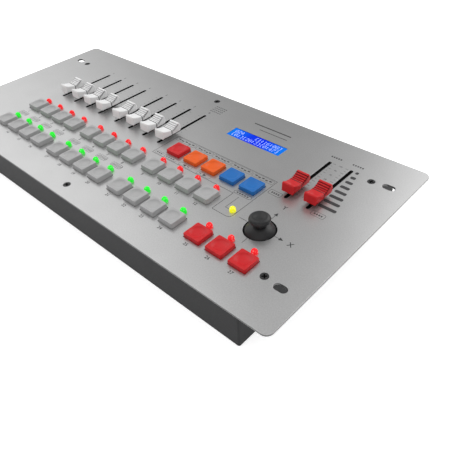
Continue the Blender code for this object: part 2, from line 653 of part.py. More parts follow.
def power_switch():
    """A rocker in a bezel. The rocker's face is a shallow V, with its upper half pressed in at rest."""
    outside = CASE_BACK + GAP
    bezel = bmesh.new()
    add_flat(bezel, SWITCH_X, 15 * MM, 21 * MM, outside, outside + 1.6 * MM)
    item = object_of("power_switch_housing", bezel, finish="black")
    body = bmesh.new()
    add_flat(body, SWITCH_X, 13 * MM, 19 * MM, CASE_BACK - 14 * MM, outside + 1 * MM)
    combine(item, body, "UNION")
    well = bmesh.new()
    add_flat(well, SWITCH_X, 10.6 * MM, 16.6 * MM, CASE_BACK - 9 * MM, outside + 3 * MM)
    combine(item, well, "DIFFERENCE")

    half = 7.4
    outline = [(-half, -2.5), (-half, 2.1), (0, 0.8), (half, 2.1), (half, -2.5), (2.0, -5.0), (-2.0, -5.0)]
    rocker = prism(outline, 5.0 * MM)
    on_end = Matrix(((0, 0, 1), (0, 1, 0), (1, 0, 0)))
    bmesh.ops.transform(rocker, verts=rocker.verts, matrix=on_end.to_4x4())
    bmesh.ops.recalc_face_normals(rocker, faces=rocker.faces)
    item = object_of("power_rocker", rocker, finish="black")
    item.location = (SWITCH_X, CASE_BACK - 0.6 * MM, SOCKET_Z)
    item.rotation_euler = (ROCKER_TILT, 0, 0)


top_panel()
bottom_case()
key_board()
fader_board("channel_fader_board", channel_faders, CHANNEL_SLOT_Y,
            (-166 * MM, -12.5 * MM), (24 * MM, 86 * MM))
fader_board("master_fader_board", MASTER_FADER_X, MASTER_SLOT_Y,
            (156 * MM, -3.5 * MM), (192 * MM, 88 * MM))
main_board()
display()
keys()
fader_caps()
joystick_housing()
joystick_yoke()
joystick_shaft()
joystick_cap()
rear_sockets()
power_switch()
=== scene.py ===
# %% [markdown]
# # A lighting control desk
# A stage lighting desk is a flat metal panel on a shallow steel case. Keys, lamps, slide controls, a
# small text display and a joystick come up through holes in the panel. The mechanical model of the desk
# is already made, so this lesson starts from it: it keeps every position, and gives the desk the shapes
# and finishes that the eye sees.

# %% Load the mechanical model
import json
import math

import bmesh
import bpy
import numpy as np
from mathutils import Matrix, Vector


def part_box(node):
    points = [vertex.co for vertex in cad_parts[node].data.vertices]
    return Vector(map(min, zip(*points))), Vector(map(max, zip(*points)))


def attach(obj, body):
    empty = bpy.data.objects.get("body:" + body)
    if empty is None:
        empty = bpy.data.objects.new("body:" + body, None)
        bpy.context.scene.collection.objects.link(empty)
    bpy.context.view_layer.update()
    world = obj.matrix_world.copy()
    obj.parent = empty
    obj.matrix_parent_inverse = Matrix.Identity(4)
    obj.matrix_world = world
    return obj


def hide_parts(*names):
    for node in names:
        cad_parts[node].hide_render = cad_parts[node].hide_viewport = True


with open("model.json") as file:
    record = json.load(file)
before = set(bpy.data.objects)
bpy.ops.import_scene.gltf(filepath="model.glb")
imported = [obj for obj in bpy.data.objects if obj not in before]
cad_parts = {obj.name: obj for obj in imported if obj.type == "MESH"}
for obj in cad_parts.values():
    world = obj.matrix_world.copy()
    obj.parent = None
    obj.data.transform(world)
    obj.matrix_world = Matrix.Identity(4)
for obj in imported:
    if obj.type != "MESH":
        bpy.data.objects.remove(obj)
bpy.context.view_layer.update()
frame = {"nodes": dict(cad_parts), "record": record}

# %% [markdown]
# ## Measures
# Lengths are in millimetres, because that is how such a desk is drawn, and are turned into metres as a
# mesh is made. The places of the keys, caps and sockets are read from the mechanical model, so nothing
# has to be fitted by eye.

# %% Places taken from the mechanical model
MM = 0.001


def box_mm(node):
    """Lowest and highest corners of a mechanical part, in millimetres."""
    low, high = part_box(node)
    return np.array(low) / MM, np.array(high) / MM


def centre_mm(node):
    """Middle of a mechanical part, in millimetres: half of low plus high."""
    low, high = box_mm(node)
    return (low + high) / 2


PANEL_LOW, PANEL_HIGH = box_mm("top_panel")
TOP = PANEL_HIGH[2]                # height of the panel's face
PANEL_SHEET = 2.0                  # thickness of the panel
SCENE_KEYS = sorted(n for n in frame["nodes"] if n.startswith("scene_key"))
FUNCTION_KEYS = sorted(n for n in frame["nodes"] if n.startswith("function_key"))
CONTROL_KEYS = sorted(n for n in frame["nodes"] if n.startswith("control_key"))
CHANNEL_CAPS = sorted(n for n in frame["nodes"] if n.startswith("channel_fader_cap"))
MASTER_CAPS = sorted(n for n in frame["nodes"] if n.startswith("master_fader_cap"))
ALL_KEYS = SCENE_KEYS + FUNCTION_KEYS + CONTROL_KEYS
STICK = centre_mm("joystick_cap")[:2]
LAMP_BEHIND_KEY = 12.3             # from the middle of a key back to its lamp
MODE_LAMP = np.array([140.4, -31.95])
print("panel from", PANEL_LOW.round(1), "to", PANEL_HIGH.round(1), "joystick at", STICK.round(1))

# %% [markdown]
# ## Skins over rings of points
# Most parts of a desk are simple sweeps: a key is a square that changes size on its way up, a knob is a
# circle that does the same. Blender's modelling tools could extrude each one by hand. Here a shape is a
# stack of rings, worked out as one array, and a single function skins any such stack. The same function
# then serves keys, lamps, caps, knobs and screws.

# %% From rings to faces
def loft(rings, wrap=False):
    """Skin a stack of rings (ring, point, xyz): point p of ring r joins point p + 1 and ring r + 1.

    The first and last rings are closed with fans to their middles, or joined to each other by wrap.
    """
    count, points = rings.shape[:2]
    row, column = np.meshgrid(np.arange(count if wrap else count - 1), np.arange(points), indexing="ij")
    beside = (column + 1) % points
    above = (row + 1) % count * points
    quads = np.stack([row * points + column, row * points + beside, above + beside, above + column], -1)
    blocks = [quads.reshape(-1, 4)]
    vertices = rings.reshape(-1, 3)
    if not wrap:
        ring = np.arange(points)
        after = (ring + 1) % points
        low, last = count * points, (count - 1) * points
        blocks.append(np.stack([after, ring, np.full(points, low)], -1))
        blocks.append(np.stack([ring + last, after + last, np.full(points, low + 1)], -1))
        vertices = np.concatenate([vertices, [rings[0].mean(0), rings[-1].mean(0)]])
    return vertices, blocks


def at_height(outline, z):
    """Points (x, y) of an outline as (x, y, z), all at one height."""
    return np.column_stack([outline, np.full(len(outline), z)])


def solid(outline, low, high):
    """A closed outline made solid between two heights, with finish 0."""
    return (*loft(np.stack([at_height(outline, low), at_height(outline, high)])), 0)


def in_scene(name, data):
    """A new object for a mesh, curve, light or camera, linked to the scene."""
    item = bpy.data.objects.new(name, data)
    bpy.context.scene.collection.objects.link(item)
    return item


def make_piece(name, parts, body, finishes, sharp=40):
    """One object from parts (vertices in mm, blocks of faces, finish number), riding on a body."""
    corners = np.concatenate([part[0] for part in parts]) * MM
    faces, numbers, start = [], [], 0
    for vertices, blocks, finish in parts:
        for block in blocks:
            faces += (block + start).tolist()
            numbers += [finish] * len(block)
        start += len(vertices)
    mesh = bpy.data.meshes.new(name)
    mesh.from_pydata(corners.tolist(), [], faces)
    mesh.polygons.foreach_set("material_index", numbers)
    mesh.shade_smooth()
    mesh.set_sharp_from_angle(angle=math.radians(sharp))
    for finish in finishes:
        mesh.materials.append(finish)
    item = in_scene(name, mesh)
    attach(item, body)
    return item


# %% [markdown]
# ## Outlines
# Two outlines cover nearly everything. A superellipse goes smoothly from a circle to a square with
# rounded corners as its exponent grows, which suits keys. A box with true quarter-circle corners suits
# holes, slots and printed bars, because that is how they are punched and drawn.

# %% Superellipse rings and rounded boxes
def clustered_angles(side_points=12):
    """Directions around a square, closer together near its corners: atan(sin t) on each side."""
    t = np.linspace(-np.pi / 2, np.pi / 2, side_points, endpoint=False)
    return (np.arange(4)[:, None] * np.pi / 2 + np.arctan(np.sin(t))).ravel()


def stacked_rings(profile, centre, angles):
    """Rings from rows of (half width, exponent, height): r = half / (|cos|^n + |sin|^n)^(1/n)."""
    half, power, height = np.array(profile, float).T[..., None]
    cos, sin = np.cos(angles), np.sin(angles)
    radius = half / (np.abs(cos) ** power + np.abs(sin) ** power) ** (1 / power)
    return np.stack([centre[0] + radius * cos, centre[1] + radius * sin, height + 0 * angles], -1)


def turned_rings(profile, centre, steps=48):
    """Rings of a turned shape from rows of (radius, height)."""
    radius, height = np.array(profile, float).T
    rows = np.stack([radius, np.full(len(radius), 2.0), height], -1)
    return stacked_rings(rows, centre, np.linspace(0, 2 * np.pi, steps, endpoint=False))


def rounded_box(centre, size, radius, steps=6):
    """Outline of a box whose corners are quarter circles, counterclockwise, as (points, xy)."""
    quarter = np.linspace(0, np.pi / 2, steps + 1)
    angle = (np.arange(4)[:, None] * np.pi / 2 + quarter).ravel()
    sign = np.repeat([[1, 1], [-1, 1], [-1, -1], [1, -1]], steps + 1, axis=0)
    inner = np.asarray(size) / 2 - radius
    return np.asarray(centre) + sign * inner + radius * np.stack([np.cos(angle), np.sin(angle)], -1)


def smooth_path(points, steps=6):
    """Points on a Catmull-Rom curve: each stretch is a cubic whose slope at a point is half the step
    between the point's neighbours."""
    p = np.array(points, float)
    p = np.concatenate([[2 * p[0] - p[1]], p, [2 * p[-1] - p[-2]]])
    t = np.linspace(0, 1, steps, endpoint=False)[:, None, None]
    a, b, c, d = p[:-3], p[1:-2], p[2:-1], p[3:]
    curve = 0.5 * (2 * b + (c - a) * t + (2 * a - 5 * b + 4 * c - d) * t**2 + (3 * b - a - 3 * c + d) * t**3)
    return np.concatenate([curve.transpose(1, 0, 2).reshape(-1, p.shape[1]), p[-2:-1]])


# %% [markdown]
# ## Finishes
# A real finish is never one flat colour: paint has grain, moulded plastic has a fine leather-like
# texture, edges polish with use and dust lies on upward faces. Each effect is a node group, made once,
# that gives out a mask or a height. Every material then mixes the same effects in its own amounts, and
# keeps its own Principled shader. All patterns read Object coordinates, so they stay on their part when
# it moves.

# %% Node helpers
def add(tree, kind, inputs=None, **settings):
    """Put a node in a tree, set it, and feed each named input with a value or another node's output."""
    new = tree.nodes.new("ShaderNode" + kind)
    for key, value in settings.items():
        setattr(new, key, value)
    for key, value in (inputs or {}).items():
        if isinstance(value, bpy.types.NodeSocket):
            tree.links.new(value, new.inputs[key])
        else:
            new.inputs[key].default_value = value
    return new


def new_group(name, inputs, outputs):
    """An empty node group with float inputs (name: default) and float outputs."""
    tree = bpy.data.node_groups.new(name, "ShaderNodeTree")
    for label, value in inputs.items():
        socket = tree.interface.new_socket(label, in_out="INPUT", socket_type="NodeSocketFloat")
        socket.default_value = value
    for label in outputs:
        tree.interface.new_socket(label, in_out="OUTPUT", socket_type="NodeSocketFloat")
    return tree, tree.nodes.new("NodeGroupInput").outputs, tree.nodes.new("NodeGroupOutput").inputs


def spread(tree, value, low, high, to_low=0.0, to_high=1.0):
    """A Map Range node: low to high becomes to_low to to_high, and stays inside."""
    return add(tree, "MapRange", {"Value": value, "From Min": low, "From Max": high,
                                  "To Min": to_low, "To Max": to_high}).outputs["Result"]


def product(tree, first, second):
    return add(tree, "Math", {0: first, 1: second}, operation="MULTIPLY").outputs[0]


def blend(tree, factor, first, second, kind="MIX"):
    """A colour mix, first at factor 0 and second at 1; each is (r, g, b) or another node's output."""
    ends = [end if isinstance(end, bpy.types.NodeSocket) else (*end, 1) for end in (first, second)]
    sockets = {"Factor": factor, 6: ends[0], 7: ends[1]}
    return add(tree, "Mix", sockets, data_type="RGBA", blend_type=kind).outputs[2]


def new_material(name):
    """A material with nodes, its node tree and its Principled shader."""
    material = bpy.data.materials.new(name)
    material.use_nodes = True
    return material, material.node_tree, material.node_tree.nodes["Principled BSDF"]


# %% Grain: two sizes of speckle
GRAIN, given, out = new_group("Grain", {"Scale": 2400.0}, ["Fleck", "Cloud"])
place = add(GRAIN, "TexCoord").outputs["Object"]
fine = add(GRAIN, "TexNoise", {"Vector": place, "Scale": given["Scale"], "Detail": 2.0, "Roughness": 0.6})
broad = add(GRAIN, "TexNoise", {"Vector": place, "Scale": 38.0, "Detail": 3.0, "Roughness": 0.55})
GRAIN.links.new(spread(GRAIN, fine.outputs["Fac"], 0.32, 0.68), out["Fleck"])
GRAIN.links.new(spread(GRAIN, broad.outputs["Fac"], 0.35, 0.65), out["Cloud"])

# %% Moulded texture: the fine pebbles of a moulding tool
MOULD, given, out = new_group("Moulded texture", {"Scale": 1800.0}, ["Height"])
place = add(MOULD, "TexCoord").outputs["Object"]
pebble = add(MOULD, "TexVoronoi", {"Vector": place, "Scale": given["Scale"]}, feature="SMOOTH_F1")
swirl = add(MOULD, "TexNoise", {"Vector": place, "Scale": given["Scale"], "Detail": 3.0})
MOULD.links.new(product(MOULD, pebble.outputs["Distance"], swirl.outputs["Fac"]), out["Height"])

# %% Edge wear: convex edges, broken up by noise
WEAR, given, out = new_group("Edge wear", {"Amount": 0.5}, ["Mask"])
place = add(WEAR, "TexCoord").outputs["Object"]
edge = spread(WEAR, add(WEAR, "NewGeometry").outputs["Pointiness"], 0.515, 0.6)
patch = add(WEAR, "TexNoise", {"Vector": place, "Scale": 260.0, "Detail": 4.0, "Roughness": 0.65})
broken = product(WEAR, edge, spread(WEAR, patch.outputs["Fac"], 0.38, 0.62))
WEAR.links.new(product(WEAR, broken, given["Amount"]), out["Mask"])

# %% Dust: specks and a haze on faces that look up
DUST, given, out = new_group("Dust", {"Amount": 0.2}, ["Mask"])
place = add(DUST, "TexCoord").outputs["Object"]
facing = add(DUST, "SeparateXYZ", {0: add(DUST, "NewGeometry").outputs["Normal"]}).outputs["Z"]
haze = add(DUST, "TexNoise", {"Vector": place, "Scale": 90.0, "Detail": 5.0, "Roughness": 0.7})
upward = spread(DUST, facing, 0.3, 1.0)
settled = product(DUST, upward, spread(DUST, haze.outputs["Fac"], 0.45, 0.75))
DUST.links.new(product(DUST, settled, given["Amount"]), out["Mask"])
print("shared effects:", [group.name for group in (GRAIN, MOULD, WEAR, DUST)])

# %% [markdown]
# ## One recipe for solid finishes
# Paint, moulded plastic and bare metal differ in numbers more than in kind, so one recipe makes them
# all: a base colour with flecks and clouds, a lighter worn edge, a veil of dust, a roughness that
# follows the flecks, and a bump. The steady numbers, such as metalness, are set on the shader itself.

# %% The recipe
DUST_COLOUR = (0.55, 0.54, 0.52)


def solid_finish(name, colour, fleck=0.06, roughness=(0.4, 0.5), metal=0.0, bump=0.05, pebbles=1800.0,
                 grain=2400.0, wear=0.3, worn=(0.75, 0.75, 0.75), dust=0.12, specular=0.5):
    """Colour times 1 - fleck to 1 + fleck, then worn edges, then dust; the bump is moulded pebbles."""
    material, tree, shader = new_material(name)
    speckle = add(tree, "Group", {"Scale": grain}, node_tree=GRAIN)
    rubbed = add(tree, "Group", {"Amount": wear}, node_tree=WEAR)
    settled = add(tree, "Group", {"Amount": dust}, node_tree=DUST)
    moulded = add(tree, "Group", {"Scale": pebbles}, node_tree=MOULD)
    deep, pale = ([min(1, c * k) for c in colour] for k in (1 - fleck, 1 + fleck))
    paint = blend(tree, speckle.outputs["Fleck"], deep, pale)
    paint = blend(tree, speckle.outputs["Cloud"], paint, (1 - fleck / 2,) * 3, "MULTIPLY")
    paint = blend(tree, rubbed.outputs["Mask"], paint, worn)
    paint = blend(tree, settled.outputs["Mask"], paint, DUST_COLOUR)
    tree.links.new(paint, shader.inputs["Base Color"])
    tree.links.new(spread(tree, speckle.outputs["Fleck"], 0, 1, *roughness), shader.inputs["Roughness"])
    raised = add(tree, "Bump", {"Height": moulded.outputs["Height"], "Strength": bump, "Distance": 0.0002})
    tree.links.new(raised.outputs["Normal"], shader.inputs["Normal"])
    shader.inputs["Metallic"].default_value = metal
    shader.inputs["Specular IOR Level"].default_value = specular
    return material


def grey(value):
    return (value,) * 3


def key_finish(name, colour, worn):
    """Coloured key plastic: only the colour and its worn shade differ."""
    return solid_finish(name, colour, 0.04, (0.36, 0.44), wear=0.15, worn=worn, dust=0.02, specular=0.28)


def ink_finish(name, colour):
    return solid_finish(name, colour, 0.10, (0.5, 0.6), wear=0.0, dust=0.02)


PANEL = solid_finish("panel_satin", grey(0.51), 0.07, (0.29, 0.34), 0.8, 0.06, 2600, 1000, 0.0, dust=0.02)
# Dark grey for the sheet's upright faces: painted shade, not a colour of the metal
CUT_EDGE_PAINTED_SHADE = solid_finish("cut_edge_painted_shade", grey(0.13), 0.10, (0.35, 0.5), 0.6, 0.05, wear=0.0, dust=0.0)
CASE = solid_finish("case_powder_coat", (0.022, 0.022, 0.023), 0.12, (0.5, 0.62), 0, 0.35, 900, 1200,
                    0.0, grey(0.2), 0.01, 0.15)
GREY = solid_finish("key_grey", grey(0.435), 0.03, (0.42, 0.5), wear=0.2, worn=grey(0.6), dust=0.04,
                    specular=0.35)
RED = key_finish("key_red", (0.62, 0.012, 0.016), (0.8, 0.1, 0.1))
ORANGE = key_finish("key_orange", (0.86, 0.12, 0.008), (1, 0.3, 0.1))
BLUE = key_finish("key_blue", (0.012, 0.155, 0.50), (0.1, 0.3, 0.7))
WHITE = solid_finish("cap_white", grey(0.90), 0.02, (0.35, 0.45), wear=0.2, worn=grey(0.97), dust=0.01)
BLACK = solid_finish("rubber_black", (0.014, 0.014, 0.015), 0.10, (0.36, 0.48), bump=0.12, wear=0.1,
                     worn=grey(0.08), dust=0.02, specular=0.4)
DARK = solid_finish("plastic_black", (0.012, 0.012, 0.013), 0.10, (0.4, 0.5), wear=0.1, worn=grey(0.1),
                    dust=0.02)
SCREW = solid_finish("screw_black", (0.04, 0.04, 0.041), 0.15, (0.25, 0.4), 0.4, 0.05, wear=0.1,
                     worn=grey(0.3), dust=0.0)
STEEL = solid_finish("bare_steel", (0.55, 0.55, 0.56), 0.06, (0.22, 0.36), 1.0, 0.03, wear=0.2, dust=0.02)
INK = ink_finish("panel_ink", (0.03, 0.03, 0.032))
GREY_INK = ink_finish("panel_ink_grey", (0.14, 0.14, 0.145))
print("solid finishes made")

# %% [markdown]
# ## Finishes that give light
# A lamp's coloured lens glows, and where a fine cell pattern is brightest its glow turns pale: painted
# highlights that stand in for glints on the lens. A text display is lit from its two ends, so its blue is
# paler there. Both are Principled shaders whose emission colour changes over the surface, while the
# strength is one number on the shader.

# %% Lamp lenses and the display
def lamp_finish(name, colour, painted_glint_colour, strength):
    """Emission between the lens colour and a pale painted highlight, where a fine cell pattern is brightest.
    """
    material, tree, shader = new_material(name)
    place = add(tree, "TexCoord").outputs["Object"]
    cells = add(tree, "TexVoronoi", {"Vector": place, "Scale": 560.0})
    # Pale spots where the cells are brightest: painted highlights, glints painted into the lens's glow
    painted_glint = spread(tree, cells.outputs["Distance"], 0.05, 0.42, 1.0, 0.0)
    tree.links.new(blend(tree, painted_glint, colour, painted_glint_colour), shader.inputs["Emission Color"])
    shader.inputs["Base Color"].default_value = (*(0.8 * c for c in colour), 1)
    shader.inputs["Specular IOR Level"].default_value = 0.1
    tree.links.new(spread(tree, painted_glint, 0, 1, 0.25, 0.1), shader.inputs["Roughness"])
    shader.inputs["Emission Strength"].default_value = strength
    return material


LAMP_RED = lamp_finish("lamp_red", (1.0, 0.025, 0.03), (1.0, 0.6, 0.55), 0.45)
LAMP_GREEN = lamp_finish("lamp_green", (0.03, 1.0, 0.05), (0.5, 1.0, 0.55), 0.42)
LAMP_YELLOW = lamp_finish("lamp_yellow", (0.98, 0.98, 0.02), (1.0, 1.0, 0.6), 0.5)

DISPLAY_MIDDLE = centre_mm("display_window")
DISPLAY_BLUE, tree, shader = new_material("display_blue")
along = add(tree, "SeparateXYZ", {0: add(tree, "TexCoord").outputs["Object"]}).outputs["X"]
from_middle = add(tree, "Math", {0: along, 1: DISPLAY_MIDDLE[0] * MM}, operation="SUBTRACT").outputs[0]
far = spread(tree, add(tree, "Math", {0: from_middle}, operation="ABSOLUTE").outputs[0], 0.008, 0.033)
grit = add(tree, "Group", node_tree=GRAIN)
glow = blend(tree, far, (0.0, 0.035, 0.95), (0.0, 0.25, 1.0))
glow = blend(tree, spread(tree, grit.outputs["Fleck"], 0, 1, 0.0, 0.12), glow, (0.0, 0.02, 0.5))
tree.links.new(glow, shader.inputs["Emission Color"])
tree.links.new(spread(tree, grit.outputs["Fleck"], 0, 1, 0.08, 0.14), shader.inputs["Roughness"])
shader.inputs["Base Color"].default_value = (0.0, 0.004, 0.05, 1)
shader.inputs["Specular IOR Level"].default_value = 0.08
shader.inputs["Emission Strength"].default_value = 0.85
# The lit dots get the same painted highlights, in pale blue
LIT_DOT = lamp_finish("display_dot", (0.36, 0.46, 1.0), (0.55, 0.65, 1.0), 0.9)
print("lamps and display:", LAMP_RED.name, LAMP_GREEN.name, LAMP_YELLOW.name, DISPLAY_BLUE.name)

# %% [markdown]
# ## The camera
# The desk fills the view from its front right corner, seen from above at a little over forty degrees.
# A camera is a place, a point to look at, a small roll about its own axis and a focal length. Building
# the rotation from those four is easier to read and to change than a triple of angles.

# %% Camera
def aim(item, place, target, roll=0.0):
    """Put an object at place, its -Z axis towards target and its Y axis up, then roll it about its view."""
    item.location = place
    facing = (Vector(target) - Vector(place)).to_track_quat("-Z", "Y").to_matrix().to_4x4()
    item.rotation_euler = (facing @ Matrix.Rotation(math.radians(roll), 4, "Z")).to_euler()


lens = bpy.data.cameras.new("desk_camera")
lens.lens = 39.41
lens.sensor_width = 36.0
lens.clip_start = 0.01
camera = in_scene("desk_camera", lens)
aim(camera, (0.36101, -0.25719, 0.29821), (0.15323, -0.05034, 0.04), roll=-3.973)
bpy.context.scene.camera = camera
print("camera", [round(c, 3) for c in camera.location])

# %% [markdown]
# ## The panel
# The real panel is a laser-cut steel sheet with a softly broken edge round every hole. Cutting thirty
# keys, lamps and slots out of a block with Booleans would work, but leaves hard edges that catch no
# light. A flat filled curve does better: its outlines are the sheet and its holes, Blender fills what is
# between them, and the curve's own bevel rounds every edge at once.

# %% Holes and sheet
EDGE = 0.2                         # radius of the broken edge
PANEL_CORNER = 6.0
KEY_HOLE = 17.2
LAMP_HOLE = 2.85                   # radius
SCREW_HOLE = 3.5                   # radius
STICK_HOLE = 13.55                 # radius
DISPLAY_HOLE = (65.3, 15.3)
RACK_SLOT, RACK_SLOT_PLACE = np.array([11.5, 6.8]), (221.7, 73.0)
SCREWS = [np.array([sx * 206.2, sy * 71.4]) for sx in (-1, 1) for sy in (-1, 1)]
SCREWS += [np.array([0, -97.5]), np.array([0, 97.5])]
LAMPS = {n: centre_mm(n)[:2] + [0, LAMP_BEHIND_KEY] for n in SCENE_KEYS + CONTROL_KEYS}
LAMPS["mode"] = MODE_LAMP
CHANNEL_SLOT = (-0.35, 67.95)      # front and back ends
MASTER_SLOT = (7.65, 75.55)
SLOT_WIDTH, SLOT_CORNER = 3.4, 1.69
SLIDES = [(cap, CHANNEL_SLOT) for cap in CHANNEL_CAPS] + [(cap, MASTER_SLOT) for cap in MASTER_CAPS]


def cap_x(node):
    return centre_mm(node)[0]


def slot_box(node, ends):
    """Middle and size of the slot under a cap."""
    return (cap_x(node), sum(ends) / 2), (SLOT_WIDTH, ends[1] - ends[0])


def hole(centre, size, radius, steps=6):
    """Outline of a hole, drawn larger by the edge radius that the bevel takes back."""
    return rounded_box(centre, np.asarray(size) + 2 * EDGE, radius + EDGE, steps)


HOLES = [hole(centre_mm(n)[:2], (KEY_HOLE, KEY_HOLE), 0.6, 3) for n in ALL_KEYS]
HOLES += [hole(p, (2 * LAMP_HOLE,) * 2, LAMP_HOLE, 8) for p in LAMPS.values()]
HOLES += [hole(p, (2 * SCREW_HOLE,) * 2, SCREW_HOLE, 10) for p in SCREWS]
HOLES += [hole(np.multiply(RACK_SLOT_PLACE, (sx, sy)), RACK_SLOT, 3.39, 8) for sx in (-1, 1)
          for sy in (-1, 1)]
HOLES += [hole(*slot_box(node, ends), SLOT_CORNER, 5) for node, ends in SLIDES]
HOLES.append(hole(STICK, (2 * STICK_HOLE,) * 2, STICK_HOLE - 0.01, 20))
HOLES.append(hole(DISPLAY_MIDDLE[:2], DISPLAY_HOLE, 0.5, 3))
SHEET_SIZE = (PANEL_HIGH - PANEL_LOW)[:2]
SHEET_OUTLINE = rounded_box((0, 0), SHEET_SIZE - 2 * EDGE, PANEL_CORNER - EDGE, 12)


def mesh_from_curve(curve):
    """The mesh that Blender makes of a curve, by way of an object that is removed again."""
    shape = in_scene(curve.name, curve)
    bpy.context.view_layer.update()
    mesh = bpy.data.meshes.new_from_object(shape.evaluated_get(bpy.context.evaluated_depsgraph_get()))
    bpy.data.objects.remove(shape)
    return mesh


def punched_sheet(outlines, low, high, edge):
    """Mesh of a flat curve's outlines, filled between, from low to high with edges of radius edge."""
    curve = bpy.data.curves.new("punched_sheet", "CURVE")
    curve.dimensions, curve.fill_mode = "2D", "BOTH"
    curve.extrude, curve.bevel_depth, curve.bevel_resolution = (high - low) / 2 - edge, edge, 1
    for outline in outlines:
        spline = curve.splines.new("POLY")
        spline.points.add(len(outline) - 1)
        flat = np.column_stack([at_height(outline, 0), np.ones(len(outline))])
        spline.points.foreach_set("co", flat.ravel())
        spline.use_cyclic_u = True
    mesh = mesh_from_curve(curve)
    mesh.transform(Matrix.Translation((0, 0, (low + high) / 2)))
    mesh.transform(Matrix.Scale(MM, 4))
    return mesh


def tidy_mesh(mesh, distance=0.00001):
    """Merge a mesh's doubles, closer together than distance in metres, and turn its faces outwards."""
    edit = bmesh.new()
    edit.from_mesh(mesh)
    bmesh.ops.remove_doubles(edit, verts=edit.verts, dist=distance)
    bmesh.ops.recalc_face_normals(edit, faces=edit.faces)
    edit.to_mesh(mesh)
    edit.free()


sheet = punched_sheet([SHEET_OUTLINE] + HOLES, TOP - PANEL_SHEET, TOP, EDGE)
tidy_mesh(sheet)
sheet.shade_smooth()
sheet.materials.clear()
sheet.materials.append(PANEL)
sheet.materials.append(CUT_EDGE_PAINTED_SHADE)
STEEP = 0.35                       # a face is part of the cut when its normal rises less than this
# Upright faces, the sheet's outer edge and the walls of its holes, get the dark grey finish: painted shade
# for faces that turn away from the light above
facing = np.zeros(3 * len(sheet.polygons))
sheet.polygons.foreach_get("normal", facing)
sheet.polygons.foreach_set("material_index", (np.abs(facing[2::3]) < STEEP).astype(np.int32))
panel = in_scene("panel_sheet", sheet)
even = panel.modifiers.new("Even shading", "WEIGHTED_NORMAL")
even.weight = 100
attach(panel, "desk")
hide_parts("top_panel")
print("panel holes:", len(HOLES), "faces:", len(sheet.polygons))

# %% [markdown]
# ## The case
# Under the panel is a folded steel case with a rough powder coat. Its shape in the mechanical model is
# right, but its edges are sharp, and a folded sheet's never are. So the case is a copy of that mesh, its
# loose triangles merged and its flat faces joined up, with a Bevel modifier that rounds the folds.

# %% Case with rounded folds
def rounded_copy(node, name, finish, width, segments=2):
    """A mechanical part's mesh with its doubles merged, coplanar faces joined and edges bevelled."""
    mesh = frame["nodes"][node].data.copy()
    edit = bmesh.new()
    edit.from_mesh(mesh)
    bmesh.ops.remove_doubles(edit, verts=edit.verts, dist=0.000005)
    bmesh.ops.dissolve_limit(edit, angle_limit=math.radians(1), verts=edit.verts, edges=edit.edges)
    edit.to_mesh(mesh)
    edit.free()
    mesh.shade_smooth()
    mesh.materials.clear()
    mesh.materials.append(finish)
    item = in_scene(name, mesh)
    bevel = item.modifiers.new("Rounded edges", "BEVEL")
    bevel.width, bevel.segments, bevel.limit_method = width * MM, segments, "ANGLE"
    bevel.angle_limit = math.radians(35)
    smooth = item.modifiers.new("Even shading", "WEIGHTED_NORMAL")
    smooth.weight = 100
    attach(item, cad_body(node))
    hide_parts(node)
    return item


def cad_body(node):
    return next(body for body, nodes in frame["record"]["behaviour"]["bodies"].items() if node in nodes)


case = rounded_copy("bottom_case", "case_shell", CASE, 0.6, 3)
print("case faces before rounding:", len(case.data.polygons))

# %% [markdown]
# ## Keys
# Each key is a moulded cap whose nearly upright sides end in a round finger dish. All of that is a
# stack of superellipse rings: a low exponent gives the round dish, a high one the squarish body, and
# the rings between blend them. The stem below reaches the switch.

# %% Keys as stacks of rings
KEY_ANGLES = clustered_angles()


def key_profile(height, dish, dish_radius, stem, base, top, rim):
    """Rows of (half width, exponent, height) from the stem's foot, up the sides and into the dish.

    The sides lean in evenly from base to top and turn over a quarter circle of radius rim. The dish is
    height - dish * (1 - (r / dish_radius)^4).
    """
    side = [(0.6, 6, stem), (2.4, 9, stem), (2.5, 9, -0.9), (7.8, 18, -1.0), (base - 0.15, 18, -0.9)]
    side += [(base - 0.05, 18, 0.1), (base, 18, 0.5)]
    climb = np.array([0.3, 0.45, 0.6, 0.74])
    side += [(base + (top - base) * c, 17, height * c) for c in climb]
    turn = rim * np.sin(np.linspace(0, np.pi / 2, 5))
    drop = rim - rim * np.cos(np.linspace(0, np.pi / 2, 5))
    edge = [(top - d, 17 - 4 * d / rim, height - rim + t) for d, t in zip(drop, turn)]
    edge.append((top - rim - 0.35, 4.2, height))
    bowl = np.array([1.0, 0.985, 0.96, 0.92, 0.87, 0.8, 0.7, 0.58, 0.4, 0.2, 0.06])
    inner = [(dish_radius * b, 2.0, height - 0.02 - dish * (1 - b**4)) for b in bowl]
    return side + edge + inner


def make_key(node, finish, height, dish, dish_radius=6.7, base=8.45, top=8.4, rim=0.8):
    low, high = box_mm(node)
    middle = (low + high) / 2
    profile = key_profile(height, dish, dish_radius, low[2] - TOP, base, top, rim)
    rings = stacked_rings(profile, middle, KEY_ANGLES) + [0, 0, TOP]
    cap = make_piece(node + "_cap", [(*loft(rings), 0)], node, [finish], sharp=50)
    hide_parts(node)
    return cap


for node in SCENE_KEYS:
    make_key(node, GREY, 4.6, 1.5, 6.2, 8.35, 8.05, 0.4)
colours = {"red": RED, "orange": ORANGE, "blue": BLUE}
for node, colour in zip(FUNCTION_KEYS, ("red", "orange", "orange", "blue", "blue")):
    make_key(node, colours[colour], 3.6, 0.6 if colour == "blue" else 1.3, rim=0.6)
for node in CONTROL_KEYS:
    make_key(node, RED, 3.6, 1.3, rim=0.6)
print("keys:", len(ALL_KEYS))

# %% [markdown]
# ## Lamps
# A panel lamp is a round lens about five millimetres across, whose domed end stands over four
# millimetres above the sheet. The mechanical model has a plain stub for each; a turned lens covers it.
# Back-row and control lamps are red, front-row lamps green and the mode lamp yellow.

